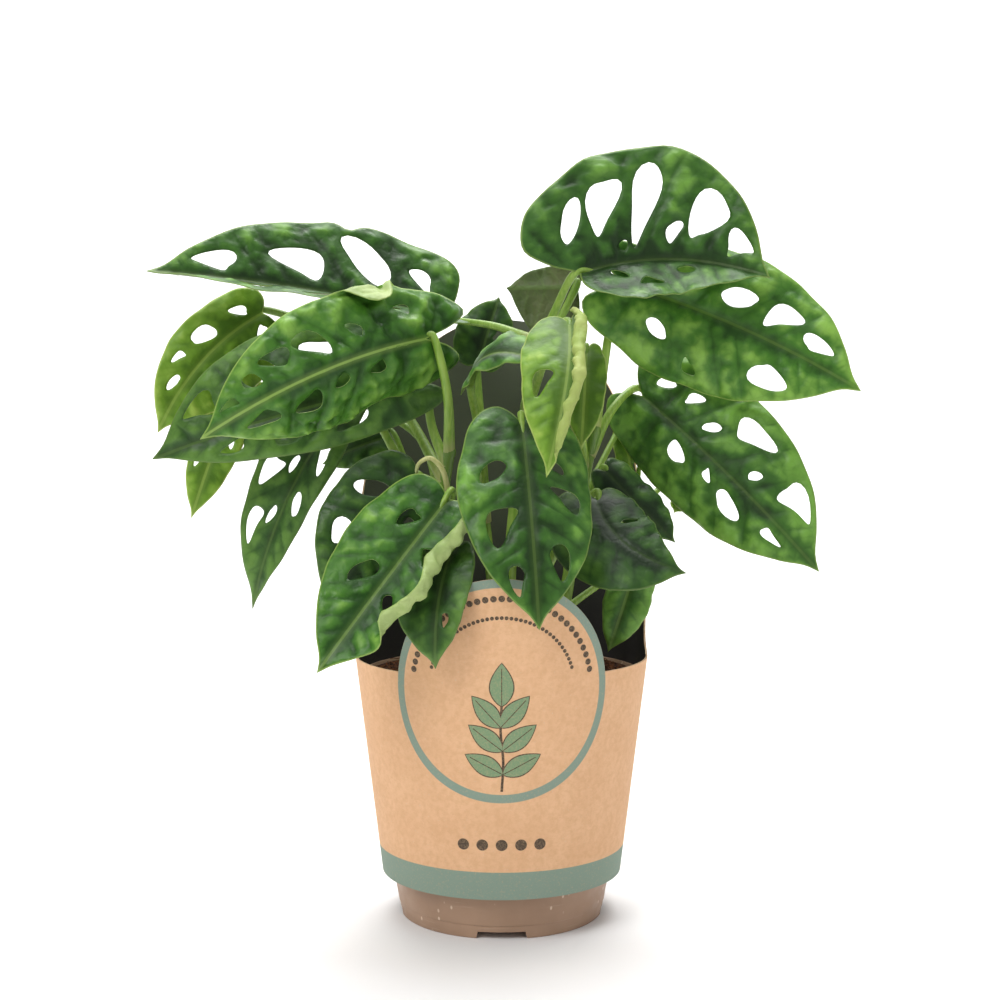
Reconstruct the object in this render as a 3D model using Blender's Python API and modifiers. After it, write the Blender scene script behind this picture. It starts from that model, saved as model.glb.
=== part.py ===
"""Monstera adansonii, the Swiss cheese vine, in its 12 cm nursery pot and board sleeve.

Metres, +Z up, front towards -Y. The origin is on the floor at the middle of the pot's foot.
The plant is a clump of short vines that stand in the soil. Each leaf is a petiole that springs
from a vine and ends in one arched blade with the holes that give the plant its name.
The pot holds the soil, and the sleeve hangs on the pot's rim.
"""

import math
from dataclasses import dataclass

import bmesh
import bpy
import numpy as np
from mathutils import Vector, geometry

MM = 0.001
GAP = 0.3 * MM

# Pot: a thin turned shell with foot slots and drain holes
POT_HEIGHT = 101 * MM
POT_RIM_RADIUS = 58.9 * MM
POT_RIM_DEPTH = 5 * MM
POT_RIM_DRAFT = 0.4 * MM
POT_NECK_RADIUS = 56.4 * MM
POT_BELT_RADIUS = 44.2 * MM
POT_BELT_HEIGHT = 11 * MM
POT_BELT_DEPTH = 6 * MM
POT_BELT_STEP = 0.8 * MM
POT_FOOT_RADIUS = 42 * MM
POT_WALL = 1.4 * MM
POT_FLOOR_HEIGHT = 5 * MM
POT_FLOOR_CHAMFER = 3.2 * MM
POT_SIDES = 48
FOOT_RING_WIDTH = 6 * MM
FOOT_LINE_HEIGHT = 5.2 * MM
FOOT_LINE_STEP = 0.4 * MM
FOOT_SLOTS = 4
FOOT_SLOT_WIDTH = 19 * MM
FOOT_SLOT_HEIGHT = 3 * MM
DRAIN_HOLES = 6
DRAIN_HOLE_RADIUS = 3.5 * MM
DRAIN_CIRCLE_RADIUS = 22 * MM
DRAIN_SIDES = 16

# Soil: fills the pot to just over its rim
SOIL_EDGE_HEIGHT = 100 * MM
SOIL_CROWN = 5 * MM
SOIL_RINGS = 6
SOIL_LUMP = 1.0 * MM
SOIL_WAVES = (190, 170, 330)
SOIL_PHASES = (1.3, 0.4)
SOIL_CLEARANCE = GAP + 0.4 * MM

# Sleeve: a cone of board with a round ear in front and a tall back
BOARD = 0.8 * MM
SLEEVE_BOTTOM = 18.3 * MM
SLEEVE_BOTTOM_RADIUS = 50 * MM
SLEEVE_TOP = 108.2 * MM
SLEEVE_TOP_RADIUS = 61 * MM
EAR_CENTRE = 102.5 * MM
EAR_RADIUS = 44.7 * MM
EAR_COLUMNS = 22
SIDE_COLUMNS = 8
BACK_COLUMNS = 30
BACK_EDGE = (
    (108.2, 90),
    (114, 82),
    (130, 76),
    (157, 68),
    (178, 60),
    (200, 51),
    (222, 39),
    (238, 26),
    (248, 13),
    (251, 0),
)

# Stems
VINE_SIDES_RESOLUTION = 2
VINE_POINTS = 12
VINE_NARROWING = 0.25
VINE_NODE_EVERY = 3
VINE_NODE_SWELL = 1.12
PETIOLE_SIDES_RESOLUTION = 1
PETIOLE_POINTS = 7
PETIOLE_ROOT_SHARE = 1.25
PETIOLE_END_SHARE = 0.9
KEEL_STATIONS = (0.09, 0.2)
KEEL_SHARES = (0.7, 0.5)
KEEL_SINK = 0.35 * MM

# Blades. The half outline runs from the petiole round the lobe to the tip,
# as (share of the length, share of the half width).
BLADE = 0.8 * MM
OUTLINE_POINTS = 30
HOLE_POINTS = 7
GRID = 13 * MM
GRID_ROW = 0.8 * GRID
GRID_REACH = 8
GRID_MARGIN = 3.2 * MM
VEIN_SLANT = 0.16
HOLE_EGG = 0.2
MIDRIB_STATIONS = 7
HEM_START = 0.58
WAVE_COUNT = 2.6
WAVE_OFFSET = 0.35
CROSS_STEPS = 16
CURVE_POINTS = 240
SMOOTH_ANGLE = 40
HALF_OUTLINE = (
    (0.00, 0.00),
    (-0.05, 0.15),
    (-0.08, 0.36),
    (-0.05, 0.62),
    (0.05, 0.84),
    (0.20, 0.98),
    (0.40, 1.00),
    (0.58, 0.89),
    (0.74, 0.67),
    (0.86, 0.40),
    (0.945, 0.14),
    (1.00, 0.00),
)

# Holes of each leaf, left half then right half, as (place along the midrib, inner end,
# outer end, width): the ends are shares of the half width there, and the width is a share of
# the leaf's length. A leaf that isn't named has none.
HOLES = {
    "leaf_crown_left": (
        ((0.20, 0.30, 0.70, 0.08), (0.42, 0.25, 0.70, 0.10), (0.64, 0.25, 0.65, 0.08)),
        ((0.10, 0.30, 0.62, 0.06), (0.28, 0.22, 0.78, 0.13), (0.50, 0.16, 0.62, 0.14),
         (0.78, 0.18, 0.66, 0.11)),
    ),
    "leaf_crown_right": (
        ((0.03, 0.34, 0.70, 0.10), (0.18, 0.28, 0.78, 0.12), (0.25, 0.10, 0.20, 0.05),
         (0.36, 0.16, 0.82, 0.11), (0.50, 0.14, 0.36, 0.08), (0.63, 0.17, 0.80, 0.14),
         (0.81, 0.15, 0.62, 0.10)),
        ((0.17, 0.16, 0.36, 0.07), (0.33, 0.45, 0.65, 0.12), (0.57, 0.16, 0.36, 0.09)),
    ),
    "leaf_crown_young": ((), ((0.50, 0.30, 0.76, 0.14),)),
    "leaf_left_bright": (
        ((0.23, 0.12, 0.28, 0.06), (0.40, 0.12, 0.28, 0.06), (0.56, 0.20, 0.50, 0.11),
         (0.76, 0.18, 0.54, 0.10)),
        ((0.06, 0.50, 0.68, 0.05), (0.28, 0.30, 0.50, 0.05), (0.46, 0.22, 0.66, 0.10),
         (0.61, 0.34, 0.70, 0.09), (0.73, 0.28, 0.62, 0.06), (0.84, 0.28, 0.60, 0.05)),
    ),
    "leaf_left_dark": (
        ((0.26, 0.25, 0.72, 0.08), (0.50, 0.28, 0.70, 0.09), (0.70, 0.28, 0.68, 0.07)),
        ((0.30, 0.30, 0.70, 0.10), (0.54, 0.30, 0.72, 0.11), (0.77, 0.36, 0.80, 0.10)),
    ),
    "leaf_left_far": (
        ((0.08, 0.20, 0.50, 0.08), (0.30, 0.25, 0.60, 0.10), (0.52, 0.20, 0.50, 0.08)),
        ((0.12, 0.20, 0.56, 0.07), (0.37, 0.20, 0.62, 0.14), (0.56, 0.45, 0.70, 0.06),
         (0.70, 0.18, 0.50, 0.08)),
    ),
    "leaf_left_small": (((0.35, 0.30, 0.66, 0.10),), ((0.55, 0.30, 0.66, 0.10),)),
    "leaf_left_hanging": (
        ((0.30, 0.25, 0.70, 0.09), (0.52, 0.25, 0.66, 0.08)),
        ((0.20, 0.34, 0.80, 0.10), (0.37, 0.12, 0.28, 0.07), (0.43, 0.40, 0.84, 0.11),
         (0.60, 0.12, 0.30, 0.07), (0.66, 0.42, 0.84, 0.12)),
    ),
    "leaf_front_left": (
        ((0.30, 0.20, 0.42, 0.08), (0.58, 0.16, 0.38, 0.07)),
        ((0.18, 0.18, 0.46, 0.09), (0.50, 0.18, 0.56, 0.11)),
    ),
    "leaf_front_left_dark": (
        ((0.30, 0.25, 0.65, 0.09),),
        ((0.24, 0.20, 0.76, 0.12), (0.58, 0.18, 0.70, 0.14)),
    ),
    "leaf_front_low": (((0.62, 0.20, 0.48, 0.10),), ()),
    "leaf_front_centre": (
        ((0.24, 0.30, 0.54, 0.05), (0.40, 0.34, 0.78, 0.09), (0.70, 0.26, 0.76, 0.12)),
        ((0.26, 0.30, 0.66, 0.10), (0.52, 0.22, 0.70, 0.15), (0.78, 0.22, 0.70, 0.09)),
    ),
    "leaf_right_bright": (
        ((0.42, 0.20, 0.46, 0.13), (0.60, 0.18, 0.62, 0.10), (0.77, 0.18, 0.56, 0.10)),
        ((0.16, 0.32, 0.52, 0.09), (0.34, 0.64, 0.84, 0.05), (0.66, 0.34, 0.78, 0.13)),
    ),
    "leaf_right_hanging": (
        ((0.04, 0.30, 0.52, 0.06), (0.17, 0.34, 0.54, 0.05), (0.30, 0.20, 0.38, 0.05),
         (0.44, 0.44, 0.80, 0.14), (0.56, 0.16, 0.34, 0.04), (0.74, 0.34, 0.84, 0.14)),
        ((0.26, 0.16, 0.44, 0.08), (0.42, 0.16, 0.32, 0.04), (0.56, 0.22, 0.54, 0.12),
         (0.77, 0.20, 0.48, 0.07)),
    ),
    "leaf_right_small": (((0.62, 0.20, 0.56, 0.14),), ()),
    "leaf_right_mid": ((), ((0.45, 0.30, 0.66, 0.10),)),
    "leaf_low_right": (((0.35, 0.30, 0.64, 0.08),), ((0.30, 0.30, 0.60, 0.08),)),
    "leaf_back_upright": ((), ((0.44, 0.22, 0.54, 0.16),)),
}


@dataclass(frozen=True)
class Vine:
    """A short stem: its name, the places it passes through in millimetres, and its radius."""

    name: str
    path: tuple
    radius: float = 3.0


@dataclass(frozen=True)
class Leaf:
    """A leaf: petiole and blade. Lengths are millimetres and angles are degrees.

    The upper face looks to the front and turns about the midrib by roll. The first value of a
    pair is for the left half, seen from above with the tip ahead, and the second for the right.
    """

    name: str
    vine: str
    height: float
    base: tuple
    tip: tuple
    widths: tuple
    roll: float = 0.0
    bow: float = 6.0
    sway: float = 0.0
    fold: tuple = (8.0, 8.0)
    curl: tuple = (30.0, 30.0)
    hem: tuple = (0.0, 0.0)
    lobe: tuple = (1.0, 1.0)
    wave: float = 1.2
    via: tuple = ()
    rise: float = 10.0
    petiole: float = 1.7
    tone: str = "leaf_green"


VINES = (
    Vine("vine_crown", ((2, 8, 90), (4, 12, 150), (10, 12, 205), (14, 10, 244))),
    Vine("vine_left", ((-22, 2, 90), (-26, 2, 130), (-25, 0, 168), (-21, -4, 196))),
    Vine("vine_front_left", ((-16, -20, 90), (-20, -20, 120), (-24, -18, 150)), 2.6),
    Vine("vine_right", ((22, 2, 90), (27, 6, 130), (33, 10, 170), (40, 8, 205))),
    Vine("vine_front_right", ((12, -18, 90), (14, -20, 120), (18, -18, 156)), 2.6),
    Vine("vine_back", ((0, 28, 90), (-4, 30, 130), (-8, 32, 175)), 2.6),
)

LEAVES = (
    Leaf("leaf_crown_left", "vine_crown", 0.96, (-24, 33, 250), (-148, 7, 268), (24, 36),
         roll=55, bow=0, sway=-4, fold=(30, 32), curl=(15, 12), lobe=(1.0, 0.3), rise=4,
         petiole=1.5),
    Leaf("leaf_crown_right", "vine_crown", 0.88, (32, -8, 266), (109, -12, 264), (48, 30),
         roll=-32, bow=-4, sway=11, fold=(34, 20), curl=(20, -10), lobe=(2.5, 0.5), rise=8),
    Leaf("leaf_crown_back", "vine_crown", 0.78, (32, 16, 262), (2, 26, 262), (9, 23),
         roll=180, bow=2, curl=(20, 30), lobe=(1.0, 0.4), rise=4, tone="leaf_dark"),
    Leaf("leaf_crown_young", "vine_crown", 0.70, (27, -20, 246), (17, -57, 185), (16, 19),
         roll=10, bow=12, sway=4, fold=(15, 3), curl=(-20, 15), hem=(230, 0), wave=0.5,
         via=((16, -2, 226), (22, -10, 243)), rise=6, tone="leaf_young"),
    Leaf("leaf_left_bright", "vine_left", 0.95, (-30, -16, 239), (-118, -42, 199), (33, 28),
         roll=0, bow=16, sway=-4, fold=(-22, 0), curl=(50, 20), lobe=(2.5, 2.8),
         via=((-22, -10, 215), (-26, -13, 235)), tone="leaf_bright"),
    Leaf("leaf_left_dark", "vine_left", 0.88, (-34, 0, 222), (-143, -12, 190), (18, 38),
         roll=12, bow=11, fold=(5, 18), curl=(20, 40), via=((-29, 3, 203), (-31, 3, 218)),
         tone="leaf_dark"),
    Leaf("leaf_left_far", "vine_left", 0.80, (-104, 38, 252), (-147, 20, 200), (24, 17),
         roll=-10, bow=6, sway=-6, curl=(30, 28), lobe=(0.6, 0.6),
         via=((-44, 26, 212), (-78, 37, 243)), rise=6, tone="leaf_young"),
    Leaf("leaf_left_small", "vine_left", 0.70, (-116, 35, 218), (-134, 25, 163), (11, 11),
         roll=0, bow=3, via=((-38, 30, 200), (-80, 40, 218)), rise=6, petiole=1.3,
         tone="leaf_young"),
    Leaf("leaf_left_hanging", "vine_left", 0.62, (-63, 12, 216), (-104, 0, 127), (14, 21),
         roll=25, bow=13, fold=(20, 2), curl=(30, 5), via=((-41, 4, 186), (-56, 10, 213)),
         tone="leaf_dark"),
    Leaf("leaf_left_inner", "vine_left", 0.52, (-50, 28, 198), (-78, 34, 186), (9, 9),
         roll=30, bow=2, via=((-35, 16, 172),), petiole=1.3, tone="leaf_dark"),
    Leaf("leaf_front_left", "vine_front_left", 0.95, (-21, -42, 176), (-69, -77, 113), (27, 25),
         roll=12, bow=2, fold=(12, 0), curl=(-30, 14), hem=(170, 0), lobe=(0.3, 0.6),
         via=((-22, -29, 163),), tone="leaf_bright"),
    Leaf("leaf_front_left_dark", "vine_front_left", 0.8, (-34, -12, 181), (-72, -30, 134), (20, 26),
         roll=0, bow=9, lobe=(1.0, 1.3), via=((-31, -12, 160),), tone="leaf_dark"),
    Leaf("leaf_front_low", "vine_front_left", 0.6, (-19, -52, 157), (-25, -68, 113), (12, 19),
         roll=24, bow=6, fold=(4, 4), curl=(10, 10), via=((-19, -34, 143), (-17, -44, 156)),
         rise=5, wave=0.6, tone="leaf_dark"),
    Leaf("leaf_front_centre", "vine_front_right", 0.95, (8, -38, 206), (14, -77, 129), (27, 27),
         roll=-5, bow=6, fold=(-4, 0), curl=(32, 8), lobe=(2.2, 1.2),
         via=((13, -25, 178), (9, -32, 202))),
    Leaf("leaf_right_bright", "vine_right", 0.95, (52, 6, 262), (147, -10, 218), (33, 33),
         roll=-14, bow=-4, sway=5, fold=(20, 10), curl=(50, 60), lobe=(1.6, 1.9),
         via=((43, 10, 228), (47, 10, 256)), tone="leaf_bright"),
    Leaf("leaf_right_hanging", "vine_right", 0.86, (60, 22, 216), (130, -14, 144), (32, 27),
         roll=3, bow=2, sway=2, fold=(0, -5), curl=(20, 30), lobe=(1.3, 1.4),
         via=((47, 16, 210),)),
    Leaf("leaf_right_olive", "vine_right", 0.80, (35, -2, 235), (32, -22, 194), (9, 9),
         roll=0, bow=3, via=((33, 1, 208),), rise=5, petiole=1.4, tone="leaf_young"),
    Leaf("leaf_right_small", "vine_right", 0.66, (53, 33, 202), (58, 33, 174), (6, 6),
         roll=0, bow=2, rise=5, petiole=1.3, tone="leaf_young"),
    Leaf("leaf_right_mid", "vine_right", 0.56, (43, -1, 185), (71, -14, 156), (13, 10),
         roll=-15, bow=0, fold=(-5, 8), curl=(50, 30), rise=5, petiole=1.4, tone="leaf_dark"),
    Leaf("leaf_right_rolled", "vine_right", 0.42, (80, 34, 177), (74, 19, 166), (11, 11),
         roll=0, bow=0, fold=(0, 0), curl=(-160, -160), wave=0, via=((58, 22, 166), (72, 34, 178)),
         rise=4, petiole=1.3, tone="leaf_young"),
    Leaf("leaf_low_right", "vine_front_right", 0.82, (38, -20, 175), (72, -46, 147), (17, 24),
         roll=-15, bow=6, sway=-8, fold=(-5, 14), tone="leaf_dark"),
    Leaf("leaf_soil_right", "vine_front_right", 0.5, (56, -2, 146), (44, -8, 110), (11, 9),
         roll=0, bow=3, rise=5, petiole=1.4),
    Leaf("leaf_back_upright", "vine_back", 0.95, (-10, 37, 230), (-1, 41, 259), (14, 12),
         roll=0, bow=2, tone="leaf_dark"),
    Leaf("leaf_centre_arched", "vine_back", 0.85, (-14, -4, 222), (19, -30, 228), (16, 9),
         roll=-55, bow=11, via=((-9, 18, 196), (-13, 2, 219))),
)

COLOURS = {
    "pot_plastic": (0.23, 0.145, 0.105, 0.55),
    "soil": (0.035, 0.018, 0.012, 0.95),
    "sleeve_board": (0.60, 0.39, 0.23, 0.8),
    "stem_green": (0.22, 0.34, 0.09, 0.5),
    "leaf_green": (0.045, 0.16, 0.03, 0.35),
    "leaf_dark": (0.025, 0.095, 0.022, 0.35),
    "leaf_bright": (0.075, 0.24, 0.035, 0.35),
    "leaf_young": (0.20, 0.38, 0.05, 0.4),
}


def clear_scene():
    """Removes whatever the file held before."""
    for obj in list(bpy.data.objects):
        bpy.data.objects.remove(obj, do_unlink=True)


def new_collection(name, hidden=False):
    """A collection in the scene, kept out of renders when it holds cutters."""
    collection = bpy.data.collections.new(name)
    bpy.context.scene.collection.children.link(collection)
    collection.hide_render = hidden
    return collection


def material(name):
    """A Principled material in one of the part's colours."""
    made = bpy.data.materials.get(name)
    if made is None:
        made = bpy.data.materials.new(name)
        made.use_nodes = True
        shader = made.node_tree.nodes["Principled BSDF"]
        red, green, blue, rough = COLOURS[name]
        shader.inputs["Base Color"].default_value = (red, green, blue, 1.0)
        shader.inputs["Roughness"].default_value = rough
        made.diffuse_color = (red, green, blue, 1.0)
    return made


def new_object(name, mesh, collection, finish=None):
    """An object for a mesh, with its material."""
    obj = bpy.data.objects.new(name, mesh)
    collection.objects.link(obj)
    if finish is not None:
        mesh.materials.clear()
        mesh.materials.append(material(finish))
    return obj


def mesh_from(name, points, faces, edges=()):
    """A mesh from points and faces."""
    mesh = bpy.data.meshes.new(name)
    mesh.from_pydata([tuple(p) for p in points], list(edges), [tuple(f) for f in faces])
    mesh.update()
    return mesh


def evaluated_copy(obj, name, collection):
    """The object as its modifiers leave it, as a new plain mesh object. The first one is removed."""
    bpy.context.view_layer.update()
    graph = bpy.context.evaluated_depsgraph_get()
    mesh = bpy.data.meshes.new_from_object(obj.evaluated_get(graph))
    work = bmesh.new()
    work.from_mesh(mesh)
    bmesh.ops.remove_doubles(work, verts=work.verts, dist=0.00001)
    bmesh.ops.recalc_face_normals(work, faces=work.faces)
    work.to_mesh(mesh)
    work.free()
    made = bpy.data.objects.new(name, mesh)
    made.matrix_world = obj.matrix_world.copy()
    collection.objects.link(made)
    bpy.data.objects.remove(obj, do_unlink=True)
    made.name = name
    return made


def boolean(obj, other, operation):
    """Adds a Boolean modifier with one object."""
    step = obj.modifiers.new(operation.lower(), "BOOLEAN")
    step.operation = operation
    step.solver = "EXACT"
    step.object = other


def turned(name, profile, sides, collection, finish=None):
    """A turned solid from a profile of (radius, height) that runs down its outer side."""
    points = [(radius, 0.0, height) for radius, height in profile]
    edges = [(i, i + 1) for i in range(len(points) - 1)]
    obj = new_object(name, mesh_from(name, points, (), edges), collection, finish)
    screw = obj.modifiers.new("turn", "SCREW")
    screw.axis = "Z"
    screw.steps = sides
    screw.render_steps = sides
    screw.use_merge_vertices = True
    screw.merge_threshold = 0.00001
    return obj


def tube(name, points, radii, resolution, collection):
    """A tube along the points, as a mesh with welded caps."""
    curve = bpy.data.curves.new(name, "CURVE")
    curve.dimensions = "3D"
    curve.bevel_depth = 1.0
    curve.bevel_resolution = resolution
    curve.use_fill_caps = True
    spline = curve.splines.new("POLY")
    spline.points.add(len(points) - 1)
    for knot, place, radius in zip(spline.points, points, radii):
        knot.co = (*place, 1.0)
        knot.radius = radius
    obj = bpy.data.objects.new(name, curve)
    collection.objects.link(obj)
    return evaluated_copy(obj, name, collection)


def smooth_path(knots, count):
    """Points at even parameter steps on a Catmull-Rom curve through the knots."""
    knots = np.array(knots, float)
    padded = np.vstack([2 * knots[0] - knots[1], knots, 2 * knots[-1] - knots[-2]])
    places = []
    for value in np.linspace(0, len(knots) - 1 - 1e-9, count):
        i = int(value)
        u = value - i
        a, b, c, d = padded[i : i + 4]
        places.append(
            0.5 * (2 * b + (c - a) * u + (2 * a - 5 * b + 4 * c - d) * u**2)
            + 0.5 * (3 * b - a - 3 * c + d) * u**3
        )
    return np.array(places)


def pot_lining(rim, neck, belt, inset):
    """The profile of a surface inside the pot's wall, from the rim down to the floor's edge."""
    return [
        (rim - inset, POT_HEIGHT),
        (neck - inset, POT_HEIGHT - POT_RIM_DEPTH - 2 * POT_RIM_DRAFT),
        (belt - inset, POT_BELT_HEIGHT),
        (belt - inset - POT_FLOOR_CHAMFER, POT_FLOOR_HEIGHT),
    ]


def build_pot(parts, cutters):
    """The turned pot, with slots through its foot and drain holes through its floor."""
    inner_foot = POT_FOOT_RADIUS - FOOT_RING_WIDTH
    floor_under = POT_FLOOR_HEIGHT - POT_WALL
    line = POT_FOOT_RADIUS + POT_BELT_STEP
    outside = [
        (POT_RIM_RADIUS, POT_HEIGHT - POT_RIM_DRAFT),
        (POT_RIM_RADIUS - POT_RIM_DRAFT, POT_HEIGHT - POT_RIM_DEPTH),
        (POT_NECK_RADIUS, POT_HEIGHT - POT_RIM_DEPTH - POT_RIM_DRAFT),
        (POT_BELT_RADIUS + POT_BELT_STEP, POT_BELT_HEIGHT + POT_BELT_DEPTH),
        (POT_BELT_RADIUS, POT_BELT_HEIGHT),
        (line + FOOT_LINE_STEP, FOOT_LINE_HEIGHT + FOOT_LINE_STEP),
        (line, FOOT_LINE_HEIGHT),
        (POT_FOOT_RADIUS, 0.0),
        (inner_foot, 0.0),
        (inner_foot, floor_under),
        (0.0, floor_under),
    ]
    lining = pot_lining(POT_RIM_RADIUS, POT_NECK_RADIUS, POT_BELT_RADIUS, POT_WALL)
    profile = [lining[0]] + outside + [(0.0, POT_FLOOR_HEIGHT)] + lining[::-1]
    pot = turned("pot", profile, POT_SIDES, parts, "pot_plastic")
    for i in range(FOOT_SLOTS):
        angle = 2 * math.pi * i / FOOT_SLOTS
        bpy.ops.mesh.primitive_cube_add(size=1)
        slot = bpy.context.object
        slot.name = f"foot_slot_{i}"
        slot.scale = (FOOT_SLOT_WIDTH, 2 * FOOT_RING_WIDTH, 2 * FOOT_SLOT_HEIGHT)
        middle = POT_FOOT_RADIUS - FOOT_RING_WIDTH / 2
        slot.location = (middle * math.sin(angle), -middle * math.cos(angle), 0)
        slot.rotation_euler = (0, 0, angle)
        as_cutter(slot, cutters)
        boolean(pot, slot, "DIFFERENCE")
    for i in range(DRAIN_HOLES):
        angle = 2 * math.pi * (i + 0.5) / DRAIN_HOLES
        place = (DRAIN_CIRCLE_RADIUS * math.cos(angle), DRAIN_CIRCLE_RADIUS * math.sin(angle), 0)
        bpy.ops.mesh.primitive_cylinder_add(
            vertices=DRAIN_SIDES,
            radius=DRAIN_HOLE_RADIUS,
            depth=4 * POT_FLOOR_HEIGHT,
            location=place,
        )
        hole = bpy.context.object
        hole.name = f"drain_hole_{i}"
        as_cutter(hole, cutters)
        boolean(pot, hole, "DIFFERENCE")


def as_cutter(obj, cutters):
    """Moves an object to the cutters' collection and hides it from renders."""
    for collection in list(obj.users_collection):
        collection.objects.unlink(obj)
    cutters.objects.link(obj)
    obj.hide_render = True
    obj.display_type = "WIRE"


def soil_height(x, y):
    """The soil's upper surface: a low crown with small lumps."""
    radius = math.hypot(x, y)
    share = min(1.0, radius / POT_NECK_RADIUS)
    across, deep, slanted = SOIL_WAVES
    lumps = math.sin(across * x + SOIL_PHASES[0]) * math.cos(deep * y - SOIL_PHASES[1])
    lumps += 0.6 * math.sin(slanted * (x + y))
    return SOIL_EDGE_HEIGHT + SOIL_CROWN * (1 - share**2) + SOIL_LUMP * lumps * (1 - share**4)


def build_soil(parts):
    """The root ball: a turned body inside the pot, with its top lumpy."""
    inset = POT_WALL + SOIL_CLEARANCE
    side = pot_lining(POT_RIM_RADIUS, POT_NECK_RADIUS, POT_BELT_RADIUS, inset)
    rim = side[0][0]
    profile = [(rim * i / SOIL_RINGS, SOIL_EDGE_HEIGHT) for i in range(SOIL_RINGS + 1)]
    profile += side[1:3]
    profile += [(side[3][0], POT_FLOOR_HEIGHT + GAP), (0.0, POT_FLOOR_HEIGHT + GAP)]
    soil = evaluated_copy(turned("soil_turned", profile, POT_SIDES, parts), "soil", parts)
    for vertex in soil.data.vertices:
        if vertex.co.z > SOIL_EDGE_HEIGHT - GAP:
            vertex.co.z = soil_height(vertex.co.x, vertex.co.y)
    soil.data.materials.append(material("soil"))
    return soil


def sleeve_radius(height):
    """The cone's radius at a height."""
    share = (height - SLEEVE_BOTTOM) / (SLEEVE_TOP - SLEEVE_BOTTOM)
    return SLEEVE_BOTTOM_RADIUS + share * (SLEEVE_TOP_RADIUS - SLEEVE_BOTTOM_RADIUS)


def sleeve_edge():
    """The upper edge as (angle from the front, height), from the front round to the back."""
    slope = math.hypot(1.0, (SLEEVE_TOP_RADIUS - SLEEVE_BOTTOM_RADIUS) / (SLEEVE_TOP - SLEEVE_BOTTOM))
    low = math.asin((SLEEVE_TOP - EAR_CENTRE) * slope / EAR_RADIUS)
    edge = []
    for i in range(EAR_COLUMNS + 1):
        turn = math.pi / 2 - (math.pi / 2 - low) * i / EAR_COLUMNS
        height = EAR_CENTRE + EAR_RADIUS * math.sin(turn) / slope
        edge.append((EAR_RADIUS * math.cos(turn) / sleeve_radius(height), height))
    start = edge[-1][0]
    for i in range(1, SIDE_COLUMNS + 1):
        edge.append((start + (math.pi / 2 - start) * i / SIDE_COLUMNS, SLEEVE_TOP))
    back = smooth_path([(math.radians(180 - angle), high * MM) for high, angle in BACK_EDGE],
                       BACK_COLUMNS)
    edge += [tuple(place) for place in back[1:]]
    return edge


def build_sleeve(parts):
    """The board sleeve: straight columns on the cone, given their thickness by Solidify."""
    half = sleeve_edge()
    columns = half + [(2 * math.pi - angle, high) for angle, high in half[-2:0:-1]]
    points = []
    for angle, high in columns:
        for height in (SLEEVE_BOTTOM, high):
            radius = sleeve_radius(height) - BOARD / 2
            points.append((radius * math.sin(angle), -radius * math.cos(angle), height))
    count = len(columns)
    faces = []
    for i in range(count):
        j = (i + 1) % count
        faces.append((2 * i, 2 * j, 2 * j + 1, 2 * i + 1))
    sleeve = new_object("sleeve", mesh_from("sleeve", points, faces), parts, "sleeve_board")
    wall = sleeve.modifiers.new("board", "SOLIDIFY")
    wall.thickness = BOARD
    wall.offset = 0


def build_vine(vine, parts):
    """One vine: a tube that swells at each node and narrows to its tip. Gives its path and radii."""
    path = smooth_path([np.array(p) * MM for p in vine.path], VINE_POINTS)
    radii = []
    for i in range(len(path)):
        share = i / (len(path) - 1)
        at_node = i % VINE_NODE_EVERY == VINE_NODE_EVERY - 1
        swell = VINE_NODE_SWELL if at_node else 1.0
        radii.append(vine.radius * MM * (1.0 - VINE_NARROWING * share) * swell)
    made = tube(vine.name, path, radii, VINE_SIDES_RESOLUTION, parts)
    made.data.materials.append(material("stem_green"))
    return path, radii


def vine_cutter(name, path, radii, cutters):
    """The vine grown by the gap, which clears the soil and the petioles from it."""
    wide = [radius + GAP for radius in radii]
    ahead = path[-1] - path[-2]
    longer = list(path)
    longer[-1] = path[-1] + ahead / np.linalg.norm(ahead) * GAP
    cutter = tube(name + "_cutter", longer, wide, VINE_SIDES_RESOLUTION, cutters)
    as_cutter(cutter, cutters)
    return cutter


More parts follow.
